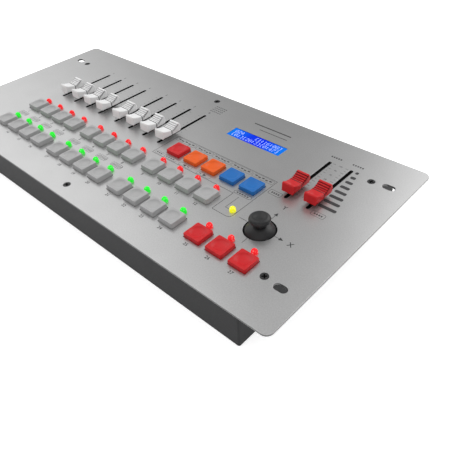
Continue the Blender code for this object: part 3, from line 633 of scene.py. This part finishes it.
# %% Domed lenses
def lens_profile(radius=2.75, straight=1.55, dome=2.95, steps=10):
    """A short cylinder and a quarter ellipse: r = radius cos a, z = straight + dome sin a."""
    a = np.linspace(0, np.pi / 2 * 0.985, steps)
    curve = np.stack([radius * np.cos(a), straight + dome * np.sin(a)], -1)
    return [(radius, -2.2)] + curve.tolist()


front_row = centre_mm(SCENE_KEYS[-1])[1]
for name, place in LAMPS.items():
    colour = LAMP_RED
    if name == "mode":
        colour = LAMP_YELLOW
    elif name.startswith("scene") and abs(place[1] - LAMP_BEHIND_KEY - front_row) < 1:
        colour = LAMP_GREEN
    rings = turned_rings(lens_profile(), place, 28) + [0, 0, TOP]
    make_piece(f"lamp_{name}", [(*loft(rings), 0)], "desk", [colour], sharp=60)
print("lamps:", len(LAMPS))

# %% [markdown]
# ## Slide-control caps
# The cap is one side outline carried across its width. The front is a tall face for the finger, the top
# dips to a thin pointer line and then climbs over four grooves between ribs. Modelling the ribs one by
# one would be slow to change. Here the outline is sampled finely by length, and a row of narrow dips is
# pushed into it.

# %% The outline and its ribs
CAP_OUTLINE = [(-12.0, 3.5), (-11.75, 7.5), (-11.5, 10.2), (-11.15, 11.2), (-10.5, 11.6), (-9.7, 11.45),
               (-8.2, 10.7), (-6.2, 9.95), (-4.0, 9.4), (-2.0, 9.05), (0.0, 8.9), (2.0, 9.0), (4.0, 9.5),
               (6.0, 10.35), (7.6, 11.3), (8.8, 12.0), (9.8, 12.25), (10.8, 11.8), (11.6, 10.6), (12.1, 8.9),
               (12.3, 7.0), (12.1, 5.2), (10.9, 3.5)]
RIB_GROOVES = (2.2, 4.1, 6.0, 7.9)      # distances behind the pointer line, along Y
CAP_RINGS = 12                          # ten across the cap and a small one to close each side
GROOVE_ROWS = CAP_RINGS - 3             # rows of faces between the ten


def even_outline(points, count):
    """The outline resampled at equal steps of its length, closed, clockwise turned counterclockwise."""
    path = np.array(points + points[:1], float)
    length = np.concatenate([[0], np.cumsum(np.linalg.norm(np.diff(path, axis=0), axis=1))])
    steps = np.linspace(0, length[-1], count, endpoint=False)
    return np.stack([np.interp(steps, length, path[:, k]) for k in (0, 1)], -1)[::-1]


def outward(outline):
    """Unit normals of a closed counterclockwise outline: the tangent turned a quarter turn right."""
    tangent = np.roll(outline, -1, 0) - np.roll(outline, 1, 0)
    normal = np.stack([tangent[:, 1], -tangent[:, 0]], -1)
    return normal / np.linalg.norm(normal, axis=1, keepdims=True)


def cap_outline(count=400):
    """The smoothed outline with a dip of 0.8 exp(-((y - groove) / 0.45)^4) at each groove on the top.

    Also which of its steps lie in a groove, so that the grooves can have a darker finish: painted shade for
    the shadow down in them.
    """
    top = smooth_path(CAP_OUTLINE[:-1], 5).tolist()
    outline = even_outline(top + CAP_OUTLINE[-1:], count)
    y, z = outline.T
    dip = sum(np.exp(-(((y - groove) / 0.45) ** 4)) for groove in RIB_GROOVES) * (z > 7.6)
    return outline - outward(outline) * 0.8 * dip[:, None], np.minimum(dip, np.roll(dip, -1)) > 0.3


def cap_rings(centre):
    """The outline at places across the cap, drawn in near each side to round its edges."""
    outline = cap_outline()[0]
    normal = outward(outline)
    across = np.array([-6.0, -5.97, -5.85, -5.65, -5.35, 5.35, 5.65, 5.85, 5.97, 6.0])
    drawn_in = np.array([0.62, 0.42, 0.2, 0.06, 0.0, 0.0, 0.06, 0.2, 0.42, 0.62])
    flat = outline[None] - normal[None] * drawn_in[:, None, None]
    x = np.broadcast_to(across[:, None, None], flat.shape[:2] + (1,))
    rings = np.concatenate([x, flat], -1)
    middle = np.array([0, 0, 5.2])
    ends = [rings[k] * [1, 0.12, 0.12] + middle * [0, 1, 0.88] for k in (0, -1)]
    return np.concatenate([ends[:1], rings, ends[1:]]) + centre


def pointer_line(centre, width=0.75, thick=0.08):
    """A thin band over the dip and down both sides, as a rectangle carried along its path."""
    path = np.array([(-6.02, 3.9), (-6.02, 8.2), (-5.75, 8.75), (-5.1, 8.93), (5.1, 8.93), (5.75, 8.75),
                     (6.02, 8.2), (6.02, 3.9)])
    push = np.array([(-1, 0), (-1, 0), (-0.7, 0.7), (0, 1), (0, 1), (0.7, 0.7), (1, 0), (1, 0)])
    corner = [(-width / 2, 0), (width / 2, 0), (width / 2, thick), (-width / 2, thick)]
    edges = [np.insert(path + push * height, 1, side, axis=1) for side, height in corner]
    return np.stack(edges, 1)[:, ::-1] + centre


def make_cap(node, finish, line, painted_shade):
    """Cap, pointer line and the flat steel lever that goes down into the slot; the grooves get painted shade,
    a darker finish for the shadow in them.
    """
    low, high = box_mm(node)
    centre = np.array([(low[0] + high[0]) / 2, (low[1] + high[1]) / 2 - 0.1, TOP])
    lever = solid(rounded_box(centre[:2], (1.2, 5.0), 0.1, 1), low[2], TOP + 5)
    parts = [(*loft(cap_rings(centre)), 0), (*loft(pointer_line(centre)), 1), (*lever[:2], 2)]
    cap = make_piece(node + "_moulding", parts, node, [finish, line, STEEL, painted_shade], sharp=55)
    in_groove = cap_outline()[1]
    numbers = np.zeros(len(cap.data.polygons), np.int32)
    cap.data.polygons.foreach_get("material_index", numbers)
    numbers[len(in_groove):][:GROOVE_ROWS * len(in_groove)][np.tile(in_groove, GROOVE_ROWS)] = 3
    cap.data.polygons.foreach_set("material_index", numbers)
    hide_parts(node)


GREY_LINE = solid_finish("pointer_line", (0.02, 0.02, 0.022), 0.05, wear=0, dust=0.02)
RED_LINE = solid_finish("pointer_line_red", (0.05, 0.003, 0.004), 0.05, wear=0, dust=0.02)
# The grooves' darker finishes are painted shade: they stand in for the shadow down in each groove
GREY_GROOVE_PAINTED_SHADE = solid_finish("groove_grey_painted_shade", (0.55, 0.55, 0.555), 0.05, wear=0, dust=0.02)
RED_GROOVE_PAINTED_SHADE = solid_finish("groove_red_painted_shade", (0.20, 0.003, 0.006), 0.05, wear=0, dust=0.02, specular=0.2)
for node in CHANNEL_CAPS:
    make_cap(node, WHITE, GREY_LINE, GREY_GROOVE_PAINTED_SHADE)
for node in MASTER_CAPS:
    make_cap(node, RED, RED_LINE, RED_GROOVE_PAINTED_SHADE)
print("slide caps:", len(CHANNEL_CAPS) + len(MASTER_CAPS))

# %% [markdown]
# ## Joystick
# The stick's rubber cap is a mushroom on a short neck, over a dome that is part of a sphere about the
# pivot, so that the gap round it stays the same as it tilts. A turned profile gives all three. The
# profile starts inside the hollow, goes down the inner wall and up the outer one, so the skin stays
# closed and its faces look outwards.

# %% Mushroom, neck and dome
DOME = 14.5                        # radius of the dome, whose wall is 1.2 thick
PIVOT = -8.0                       # height of the pivot relative to the panel's face
dome_angles = np.linspace(math.radians(86), math.asin(6.0 / DOME), 22)
inner_angles = np.linspace(math.asin(1.95 / (DOME - 1.2)), math.radians(86), 12)


def on_sphere(radius, angles):
    """Points (radius sin a, pivot + radius cos a) of a sphere about the pivot."""
    return np.stack([radius * np.sin(angles), PIVOT + radius * np.cos(angles)], -1)


hollow = np.concatenate([[(0.3, 9.2), (1.95, 9.2)], on_sphere(DOME - 1.2, inner_angles)])
neck = [(5.75, 5.3), (5.35, 5.55), (5.3, 5.95), (5.75, 6.1), (5.85, 6.5), (5.7, 6.85), (4.5, 7.0), (4.3, 7.5)]
mushroom = smooth_path([(4.7, 7.8), (5.4, 7.8), (6.6, 8.05), (7.9, 8.6), (8.7, 9.6), (8.78, 10.7),
                        (8.3, 11.8), (7.2, 12.75), (5.7, 13.15), (4.2, 12.95), (2.6, 12.6), (1.2, 12.45),
                        (0.3, 12.42)], 4)
profile = np.concatenate([hollow, on_sphere(DOME, dome_angles), neck, mushroom])
rings = turned_rings(profile, STICK, 72) + [0, 0, TOP]
stick_cap = make_piece("joystick_rubber", [(*loft(rings), 0)], "stick", [BLACK], sharp=50)
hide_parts("joystick_cap")
print("joystick rings:", len(profile))

# %% [markdown]
# ## Display
# The window of the text display shows two rows of sixteen characters, each made of five by seven square
# dots. Only generic figures are shown. Every lit dot is a tiny slab, placed with array arithmetic from
# the bits of its character.

# %% Dot characters
FIGURES = {"0": (14, 17, 19, 21, 25, 17, 14), "1": (4, 12, 4, 4, 4, 4, 14), "2": (14, 17, 1, 2, 4, 8, 31),
           "3": (31, 2, 4, 2, 1, 17, 14), "4": (2, 6, 10, 18, 31, 2, 2), "5": (31, 16, 30, 1, 1, 17, 14),
           "6": (6, 8, 16, 30, 17, 17, 14), "7": (31, 1, 2, 4, 8, 8, 8), "8": (14, 17, 17, 14, 17, 17, 14),
           "9": (14, 17, 17, 15, 1, 2, 12), ":": (0, 12, 12, 0, 12, 12, 0), "-": (0, 0, 0, 31, 0, 0, 0),
           "[": (14, 8, 8, 8, 8, 8, 14), "]": (14, 2, 2, 2, 2, 2, 14), " ": (0,) * 7}
DISPLAY_ROWS = ("024    [1:16:08]", "[01][28:3][0:47]")
DOT, DOT_PITCH, CHARACTER_PITCH, ROW_PITCH = 0.52, 0.62, 3.62, 6.0


def lit_dots(rows):
    """Centres of the lit dots: bit 4 - c of line r of a character is the dot in column c of line r."""
    bits = np.array([[[[line >> (4 - c) & 1 for c in range(5)] for line in FIGURES[figure]]
                      for figure in row] for row in rows])
    row, place, line, column = np.nonzero(bits)
    x = (place - 7.5) * CHARACTER_PITCH + (column - 2) * DOT_PITCH
    y = (0.5 - row) * ROW_PITCH + (3 - line) * DOT_PITCH * 1.08
    return np.stack([x, y], -1)


def slabs(centres, size, low, high):
    """One small box for each centre, as a single set of vertices and faces."""
    unit = np.array([(-1, -1), (1, -1), (1, 1), (-1, 1)]) / 2
    flat = centres[:, None, :] + unit * size
    ring = np.stack([np.concatenate([flat, np.full(flat.shape[:2] + (1,), z)], -1) for z in (low, high)], 1)
    quads = np.array([(3, 2, 1, 0), (4, 5, 6, 7), (0, 1, 5, 4), (1, 2, 6, 5), (2, 3, 7, 6), (3, 0, 4, 7)])
    faces = quads[None] + np.arange(len(centres))[:, None, None] * 8
    return ring.reshape(-1, 3), [faces.reshape(-1, 4)]


dots = lit_dots(DISPLAY_ROWS) + DISPLAY_MIDDLE[:2]
glass = box_mm("display_window")[1][2]
lit = slabs(dots, DOT, glass - 0.05, glass + 0.03)
make_piece("display_figures", [(*lit, 0)], "desk", [LIT_DOT])
print("lit dots:", len(dots))

# %% [markdown]
# ## Printing on the panel
# The panel is screen printed: numbers under the keys, frames round groups of keys, arrows for the
# joystick, and scales beside the slides. Ink is a very thin layer, so each mark is a flat shape a few
# hundredths of a millimetre thick. Lines are a rectangle carried along a path; bars, ticks and arrows
# are outlines given a thickness. Only plain figures and signs are printed.

# %% Marks made of ink
INK_LOW, INK_HIGH = TOP - 0.02, TOP + 0.03
ink = []                           # parts of the dark print
grey_ink = []                      # parts of the paler print


def flat_mark(outline):
    """A convex outline given the thickness of the ink."""
    return solid(outline, INK_LOW, INK_HIGH)


def bar(centre, size, radius=0.0):
    return flat_mark(rounded_box(centre, size, max(radius, 0.01), 4 if radius else 1))


def line_mark(path, width=0.35, closed=False):
    """A line: each point of the path is pushed half the width to both sides, square to the path."""
    path = np.asarray(path, float)
    before, after = np.roll(path, 1, 0), np.roll(path, -1, 0)
    if not closed:
        before[0], after[-1] = 2 * path[0] - path[1], 2 * path[-1] - path[-2]
    first = (path - before) / np.linalg.norm(path - before, axis=1, keepdims=True)
    second = (after - path) / np.linalg.norm(after - path, axis=1, keepdims=True)
    mitre = first + second
    mitre /= (mitre * mitre).sum(1, keepdims=True) / 2
    side = np.stack([mitre[:, 1], -mitre[:, 0]], -1) * width / 2
    left, right = path - side, path + side
    corners = [(left, INK_LOW), (left, INK_HIGH), (right, INK_HIGH), (right, INK_LOW)]
    rings = np.stack([at_height(edge, z) for edge, z in corners], 1)
    return (*loft(rings, wrap=closed), 0)


def frame_mark(low, high, radius, width=0.35):
    """A line round a box with rounded corners."""
    low, high = np.array(low, float), np.array(high, float)
    return line_mark(rounded_box((low + high) / 2, high - low, radius, 4), width, closed=True)


def figures(text, size, centre):
    """A line of figures, size mm tall, made a mesh and centred on a point of the panel."""
    curve = bpy.data.curves.new("figures", "FONT")
    curve.body, curve.size = text, size * 1.38
    curve.align_x, curve.align_y, curve.resolution_u = "CENTER", "CENTER", 2
    curve.offset = 0.018 * size
    mesh = mesh_from_curve(curve)
    mesh.calc_loop_triangles()
    points = np.zeros(len(mesh.vertices) * 3)
    mesh.vertices.foreach_get("co", points)
    corners = np.zeros(len(mesh.loop_triangles) * 3, int)
    mesh.loop_triangles.foreach_get("vertices", corners)
    return thicken(points.reshape(-1, 3)[:, :2] + centre, corners.reshape(-1, 3))


def thicken(flat, triangles):
    """Two copies of a flat set of triangles, the lower one turned over, with walls on edges used once."""
    flat, index = np.unique(flat.round(5), axis=0, return_inverse=True)
    triangles = index.ravel()[triangles]
    triangles = triangles[(triangles != np.roll(triangles, 1, 1)).all(1)]
    a, b, c = (flat[triangles[:, k]] for k in range(3))
    turn = np.cross(b - a, c - a)
    triangles = np.where((turn < 0)[:, None], triangles[:, ::-1], triangles)
    edges = np.concatenate([triangles[:, [0, 1]], triangles[:, [1, 2]], triangles[:, [2, 0]]])
    keys = {tuple(edge) for edge in edges.tolist()}
    rim = np.array([edge for edge in edges.tolist() if (edge[1], edge[0]) not in keys])
    count = len(flat)
    walls = np.stack([rim[:, 0], rim[:, 1], rim[:, 1] + count, rim[:, 0] + count], -1)
    both = np.concatenate([at_height(flat, INK_LOW), at_height(flat, INK_HIGH)])
    return both, [triangles[:, ::-1], triangles + count, walls], 0


# %% Numbers under the keys
for number, node in enumerate(SCENE_KEYS + CONTROL_KEYS, 1):
    x, y = centre_mm(node)[:2]
    ink.append(figures(str(number), 3.1, (x - 0.6, y - 13.3)))
print("numbers:", len(ink))

# %% Frame round the function keys and the mode lamp
LEFT, RIGHT, FRONT, BACK = 20.4, 144.5, -14.0, 21.3
outer = [(LEFT, FRONT), (124.8, FRONT), (124.8, -39.4), (125.6, -40.2), (141.0, -40.2), (143.4, -39.2),
         (144.5, -36.8), (RIGHT, BACK), (LEFT + 0.8, BACK), (LEFT, BACK - 0.8)]
ink.append(line_mark(outer, 0.42, closed=True))
ink.append(line_mark([(132.4, -15.4), (132.4, -32.0), (136.9, -32.0)], 0.4))
LABEL_BOXES = [(21.6, 47.6), (49.0, 69.8), (71.2, 93.4), (94.8, 118.6), (120.0, 143.2)]
for low, high in LABEL_BOXES:
    grey_ink.append(frame_mark((low, 15.0), (high, 20.2), 1.2, 0.32))
    middle, reach = (low + high) / 2, (high - low) / 2 - 2.6
    for k in range(5):
        ink.append(bar((middle + (k - 2) * reach * 0.44, 17.6 + 0.35 * (-1) ** k), (reach * 0.3, 1.35), 0.2))
for low, high in ((22.4, 32.0), (34.8, 50.6), (55.0, 70.6), (78.6, 94.4)):
    grey_ink.append(frame_mark((low, -13.0), (high, -8.8), 1.0, 0.3))
for x in (24.6, 27.2, 29.8, 37.4, 40.4, 43.4, 46.6):
    ink.append(bar((x, -10.9), (1.7, 1.3), 0.2))
ink.append(flat_mark([(59.4, -10.9), (63.2, -12.4), (63.2, -9.4)]))
ink.append(flat_mark([(89.4, -10.9), (85.6, -9.4), (85.6, -12.4)]))
ink += [bar((x, -10.9), (2.4, 0.8), 0.1) for x in (66.4, 82.0)]
ink.append(frame_mark((123.6, -12.9), (142.2, -9.0), 1.9, 0.34))
ink += [bar((x, -10.95), (1.8, 1.3), 0.2) for x in (127.0, 129.8, 132.6, 135.4, 138.2)]
ink += [figures(str(k + 1), 2.2, (centre_mm(n)[0], 12.8)) for k, n in enumerate(FUNCTION_KEYS)]
print("frame marks:", len(ink) + len(grey_ink))

# %% Joystick axes
X0, Y0 = STICK
ink.append(line_mark([(149.6, Y0 + 0.9), (X0 - 13.9, Y0 + 0.9)], 0.4))
ink.append(line_mark([(X0 + 13.9, Y0 + 0.9), (X0 + 18.6, Y0 + 0.9)], 0.4))
ink.append(flat_mark([(X0 + 22.0, Y0 + 0.9), (X0 + 18.2, Y0 + 2.7), (X0 + 18.2, Y0 - 0.9)]))
ink.append(line_mark([(X0 - 0.9, -55.8), (X0 - 0.9, Y0 - 13.9)], 0.4))
ink.append(line_mark([(X0 - 0.9, Y0 + 13.9), (X0 - 0.9, Y0 + 20.6)], 0.4))
ink.append(flat_mark([(X0 - 0.9, Y0 + 24.2), (X0 - 2.7, Y0 + 20.4), (X0 + 0.9, Y0 + 20.4)]))
ink += [figures("X", 4.6, (X0 + 28.9, Y0 + 0.6)), figures("Y", 4.6, (X0 - 0.9, Y0 + 32.4))]
print("marks with the joystick's axes:", len(ink) + len(grey_ink))

# %% Level bars and scales beside the main slides
left_x, right_x = (cap_x(n) for n in MASTER_CAPS)
for k in range(8):
    length = 3.0 + 2.0 * k
    ink.append(bar((right_x + 4.2 + length / 2, 74.0 - 8.0 * k), (length, 3.6), 1.4))
for k in range(8):
    y = 74.0 - 8.0 * k
    grey_ink += [bar((left_x + 4.6, y), (3.0, 0.5)), bar((right_x - 4.6, y), (3.0, 0.5))]
    grey_ink.append(figures(str(100 - 14 * k if k else 100), 1.9, ((left_x + right_x) / 2, y)))
for k in range(7):
    y = 70.0 - 8.0 * k
    grey_ink += [bar((left_x + 4.2, y), (1.6, 0.4)), bar((right_x - 4.2, y), (1.6, 0.4))]
for x in (left_x, right_x):
    for k in range(5):
        ink.append(bar((x + 1.0 + (k - 2) * 2.4, 83.5), (1.5, 1.9), 0.2))
for low, high in (((190.6, 4.0), (203.0, 9.6)), ((146.8, 4.6), (159.2, 10.4))):
    ink.append(frame_mark(low, high, 1.4, 0.36))
    ink += [bar((low[0] + 3.0 + 2.2 * k, (low[1] + high[1]) / 2), (1.3, 1.9), 0.2) for k in range(4)]
print("marks with the level bars:", len(ink) + len(grey_ink))

# %% Scales beside the channel slides, marks behind the lamps and two plain rules by the display
for node in CHANNEL_CAPS:
    x = cap_x(node)
    for k in range(11):
        y = CHANNEL_SLOT[0] + 5.4 + 5.75 * k
        grey_ink.append(bar((x - 4.6, y), (2.6 if k % 5 == 0 else 1.6, 0.4)))
        grey_ink.append(bar((x + 4.6, y), (2.6 if k % 5 == 0 else 1.6, 0.4)))
    ink.append(figures(node.rsplit("_", 1)[1], 2.6, (x, CHANNEL_SLOT[1] + 5.5)))
for node in SCENE_KEYS[12:20]:
    x = centre_mm(node)[0]
    ink.append(frame_mark((x - 8.4, -53.4), (x + 5.8, -47.9), 1.6, 0.3))
    for k in range(6):
        foot = x - 6.9 + 2.15 * k
        ink.append(line_mark([(foot, -52.4), (foot + 1.4, -49.0)], 0.6))
ink.append(bar((DISPLAY_MIDDLE[0], 86.5), (46.0, 1.5), 0.7))
ink.append(bar((DISPLAY_MIDDLE[0] + 6, 79.6), (34.0, 0.8), 0.35))
for k in range(6):
    for j in range(4):
        grey_ink.append(bar((9.0 + 2.6 * k, 78.6 + 3.4 * j), (1.7, 1.5), 0.2))
make_piece("panel_print", ink, "desk", [INK], sharp=30)
make_piece("panel_print_grey", grey_ink, "desk", [GREY_INK], sharp=30)
print("print marks:", len(ink), "dark and", len(grey_ink), "grey")

# %% [markdown]
# ## Dust seals in the slots
# Each slide's slot is closed by two black felt strips that meet along its middle, so that nothing falls
# in. Their near-black colour is also painted shade: it stands in for the shadow down in the slot, so no
# light wall shows. The lever runs between them. A strip is a bar with a rounded end, halved.

# %% Felt strips
SEAL_LOW, SEAL_HIGH, SEAL_SLIT = TOP - 1.4, TOP - 0.3, 0.7


def half_seal(node, ends, side):
    """One strip: the slot's outline, cut off at the slit on its inner side, given a thickness."""
    x = cap_x(node)
    outline = rounded_box(*slot_box(node, ends), SLOT_CORNER, 5)
    inner = (outline[:, 0] - x) * side < SEAL_SLIT
    outline[inner, 0] = x + side * SEAL_SLIT
    outline = outline[np.r_[True, (np.abs(np.diff(outline, axis=0)) > 1e-6).any(1)]]
    return solid(outline, SEAL_LOW, SEAL_HIGH)


# Near-black: painted shade for the depth of the slots and of the screws' recesses
PAINTED_SHADE_BLACK = solid_finish("black_felt_painted_shade", (0.006, 0.006, 0.006), 0.3, (0.8, 0.95), bump=0.6, pebbles=3500, wear=0.0,
                    dust=0.02, specular=0.1)
seals = [half_seal(node, ends, side) for node, ends in SLIDES for side in (-1, 1)]
make_piece("slot_seals", seals, "desk", [PAINTED_SHADE_BLACK], sharp=30)
print("felt strips:", len(seals))

# %% [markdown]
# ## Panel screws
# Six black countersunk screws hold the panel to the case. The head is flush with the sheet and has a
# cross recess. A polar grid of points is enough: its height is flat, falls over a rounded rim, and drops
# into the cross wherever a point is near one of the two arms.

# %% Countersunk cross-head screws
def screw_rings(centre, turn, radius=3.3, depth=1.6):
    """Height TOP - depth * cross, where cross is 1 inside either arm and 0 outside, with steep walls."""
    steps = np.linspace(0, 2 * np.pi, 64, endpoint=False)
    spread_out = np.concatenate([[radius * 0.8, radius], np.linspace(radius - 0.02, 0.06, 26)])
    x = spread_out[:, None] * np.cos(steps)
    y = spread_out[:, None] * np.sin(steps)
    u, v = x * np.cos(turn) + y * np.sin(turn), y * np.cos(turn) - x * np.sin(turn)
    across_u, across_v = (np.clip((0.62 - np.abs(w)) / 0.14, 0, 1) for w in (u, v))
    along_u, along_v = (np.clip((2.25 - np.abs(w)) / 0.25, 0, 1) for w in (u, v))
    cross = np.maximum(across_v * along_u, across_u * along_v)
    rim = 0.25 * np.clip((x**2 + y**2) / radius**2 - 0.86, 0, 1)
    height = TOP - 0.06 - depth * cross - rim
    height[0], height[1] = TOP - 1.9, TOP - 1.8
    return np.stack([centre[0] + x, centre[1] + y, height], -1)


screws = [(*loft(screw_rings(place, 0.5 + 0.9 * k)), 0) for k, place in enumerate(SCREWS)]
# Faces more than 0.35 mm below the panel's face, the cross and the ring round the head, get the near-black
# finish: painted shade in the recesses
heads = make_piece("panel_screws", screws, "desk", [SCREW, PAINTED_SHADE_BLACK], sharp=45).data
middles = np.zeros(3 * len(heads.polygons))
heads.polygons.foreach_get("center", middles)
heads.polygons.foreach_set("material_index", (middles[2::3] < (TOP - 0.35) * MM).astype(np.int32))
print("screws:", len(SCREWS))

# %% [markdown]
# ## Parts that keep their mechanical shape
# The boards inside, the rear sockets, the rocker and the joystick's metalwork already have their real
# shapes. They keep them and only change their finish. The boards need two finishes in one mesh: green
# board below and dark component bodies above, so their colour follows the height.

# %% Finishes for the remaining parts
def board_finish(name, top):
    """Green solder mask with pale copper tracks up to the board's top, dark plastic above it."""
    material = solid_finish(name, (0.01, 0.09, 0.035), 0.12, (0.3, 0.4), wear=0.0, dust=0.04)
    tree = material.node_tree
    base = tree.nodes["Principled BSDF"].inputs["Base Color"]
    place = add(tree, "TexCoord").outputs["Object"]
    tracks = add(tree, "TexBrick", {"Vector": place, "Scale": 130.0, "Mortar Size": 0.04,
                                    "Color1": (0, 0, 0, 1), "Color2": (0, 0, 0, 1), "Mortar": (1, 1, 1, 1)})
    copper = blend(tree, tracks.outputs["Color"], base.links[0].from_socket, (0.03, 0.19, 0.08))
    height = add(tree, "SeparateXYZ", {0: place}).outputs["Z"]
    above = spread(tree, height, (top + 0.05) * MM, (top + 0.15) * MM)
    tree.links.new(blend(tree, above, copper, (0.012, 0.012, 0.013)), base)
    return material


def refinish(node, finish):
    mesh = frame["nodes"][node].data
    for k in range(len(mesh.materials)):
        mesh.materials[k] = finish


fader_top = TOP - PANEL_SHEET - 8.0
refinish("key_board", board_finish("key_board_mask", 29.0))
refinish("main_board", board_finish("main_board_mask", 7.6))
for node in ("channel_fader_board", "master_fader_board"):
    refinish(node, board_finish(node + "_mask", fader_top))
KEPT = {"display_module": DARK, "display_window": DISPLAY_BLUE, "joystick_housing": STEEL,
        "joystick_yoke": DARK, "joystick_shaft": STEEL, "dmx_out_socket": DARK, "midi_in_socket": DARK,
        "power_inlet": STEEL, "power_switch_housing": DARK, "power_rocker": DARK}
for node, finish in KEPT.items():
    refinish(node, finish)
print("kept parts:", len(KEPT) + 4)


# %% Metal rims round the rear sockets
def socket_rim(node, radius, width=0.8, rise=0.5):
    """A small ellipse carried round a circle; Y and Z change places, so that it faces backwards."""
    low, high = box_mm(node)
    turn = np.linspace(0, 2 * np.pi, 12, endpoint=False)
    profile = np.stack([radius + width * np.cos(turn), rise * np.sin(turn)], -1)
    vertices, blocks = loft(turned_rings(profile, (0, 0), 56), wrap=True)
    middle = [(low[0] + high[0]) / 2, high[1], (low[2] + high[2]) / 2]
    return vertices[:, [0, 2, 1]] + middle, [block[:, ::-1] for block in blocks], 0


rims = [socket_rim("dmx_out_socket", 9.6), socket_rim("midi_in_socket", 7.2)]
make_piece("socket_rims", rims, "desk", [STEEL])
print("socket rims:", len(rims))

# %% [markdown]
# ## Floor and light
# The desk stands on a plain white floor, under one soft light above. Most of the light comes from the
# sky: an even base with three wide pale lobes. The panel is satin metal, so what it shows is a blurred
# picture of that sky: paler where it mirrors a lobe, darker elsewhere. The camera itself sees the sky
# as plain white.

# %% Stage
floor_mesh = bpy.data.meshes.new("floor")
floor_mesh.from_pydata([(-8, -8, 0), (8, -8, 0), (8, 8, 0), (-8, 8, 0)], [], [(0, 1, 2, 3)])
floor = in_scene("floor", floor_mesh)
floor.location.z = -0.0002
FLOOR, tree, shader = new_material("floor_white")
soft = add(tree, "TexNoise", {"Scale": 1.5}).outputs["Fac"]
tree.links.new(blend(tree, soft, (0.93, 0.93, 0.93), (0.96, 0.96, 0.96)), shader.inputs["Base Color"])
shader.inputs["Roughness"].default_value = 0.9
shader.inputs["Emission Strength"].default_value = 0.6
floor_mesh.materials.append(FLOOR)
print("floor:", tuple(round(side) for side in floor.dimensions), "metres")

# %% Soft sky: an even base with wide pale lobes
SKY_BASE = 0.30
SKY_LOBES = [(180, 38, 20, 38, 1.2),       # azimuth, elevation, full inside, none outside, strength
             (78, 38, 20, 32, 2.2),
             (300, 45, 20, 60, 0.5)]

world = bpy.data.worlds.new("studio")
world.use_nodes = True
sky = world.node_tree
direction = add(sky, "TexCoord").outputs["Generated"]
brightness = add(sky, "Value").outputs[0]
brightness.default_value = SKY_BASE
for azimuth, elevation, start, end, strength in SKY_LOBES:
    a, e = math.radians(azimuth), math.radians(elevation)
    towards = (math.cos(a) * math.cos(e), math.sin(a) * math.cos(e), math.sin(e))
    dot = add(sky, "VectorMath", {0: direction, 1: towards}, operation="DOT_PRODUCT").outputs["Value"]
    lobe = spread(sky, dot, math.cos(math.radians(end)), math.cos(math.radians(start)), 0.0, strength)
    brightness = add(sky, "Math", {0: brightness, 1: lobe}, operation="ADD").outputs[0]
seen = add(sky, "LightPath").outputs["Is Camera Ray"]
plain = add(sky, "Mix", {"Factor": seen, "A": brightness, "B": 1.0}, data_type="FLOAT").outputs[0]
sky.links.new(plain, sky.nodes["Background"].inputs["Strength"])
sky.nodes["Background"].inputs["Color"].default_value = (1, 1, 1, 1)
bpy.context.scene.world = world
print("sky lobes:", len(SKY_LOBES))


def soft_light(name, place, target, size, power):
    light = bpy.data.lights.new(name, "AREA")
    light.shape, light.size, light.energy = "DISK", size, power
    aim(in_scene(name, light), place, target)


soft_light("overhead", (-0.4, 0.1, 1.6), (0, 0, 0), 0.6, 1.5)
bpy.context.scene.view_settings.view_transform = "Standard"
print("lights and floor made")
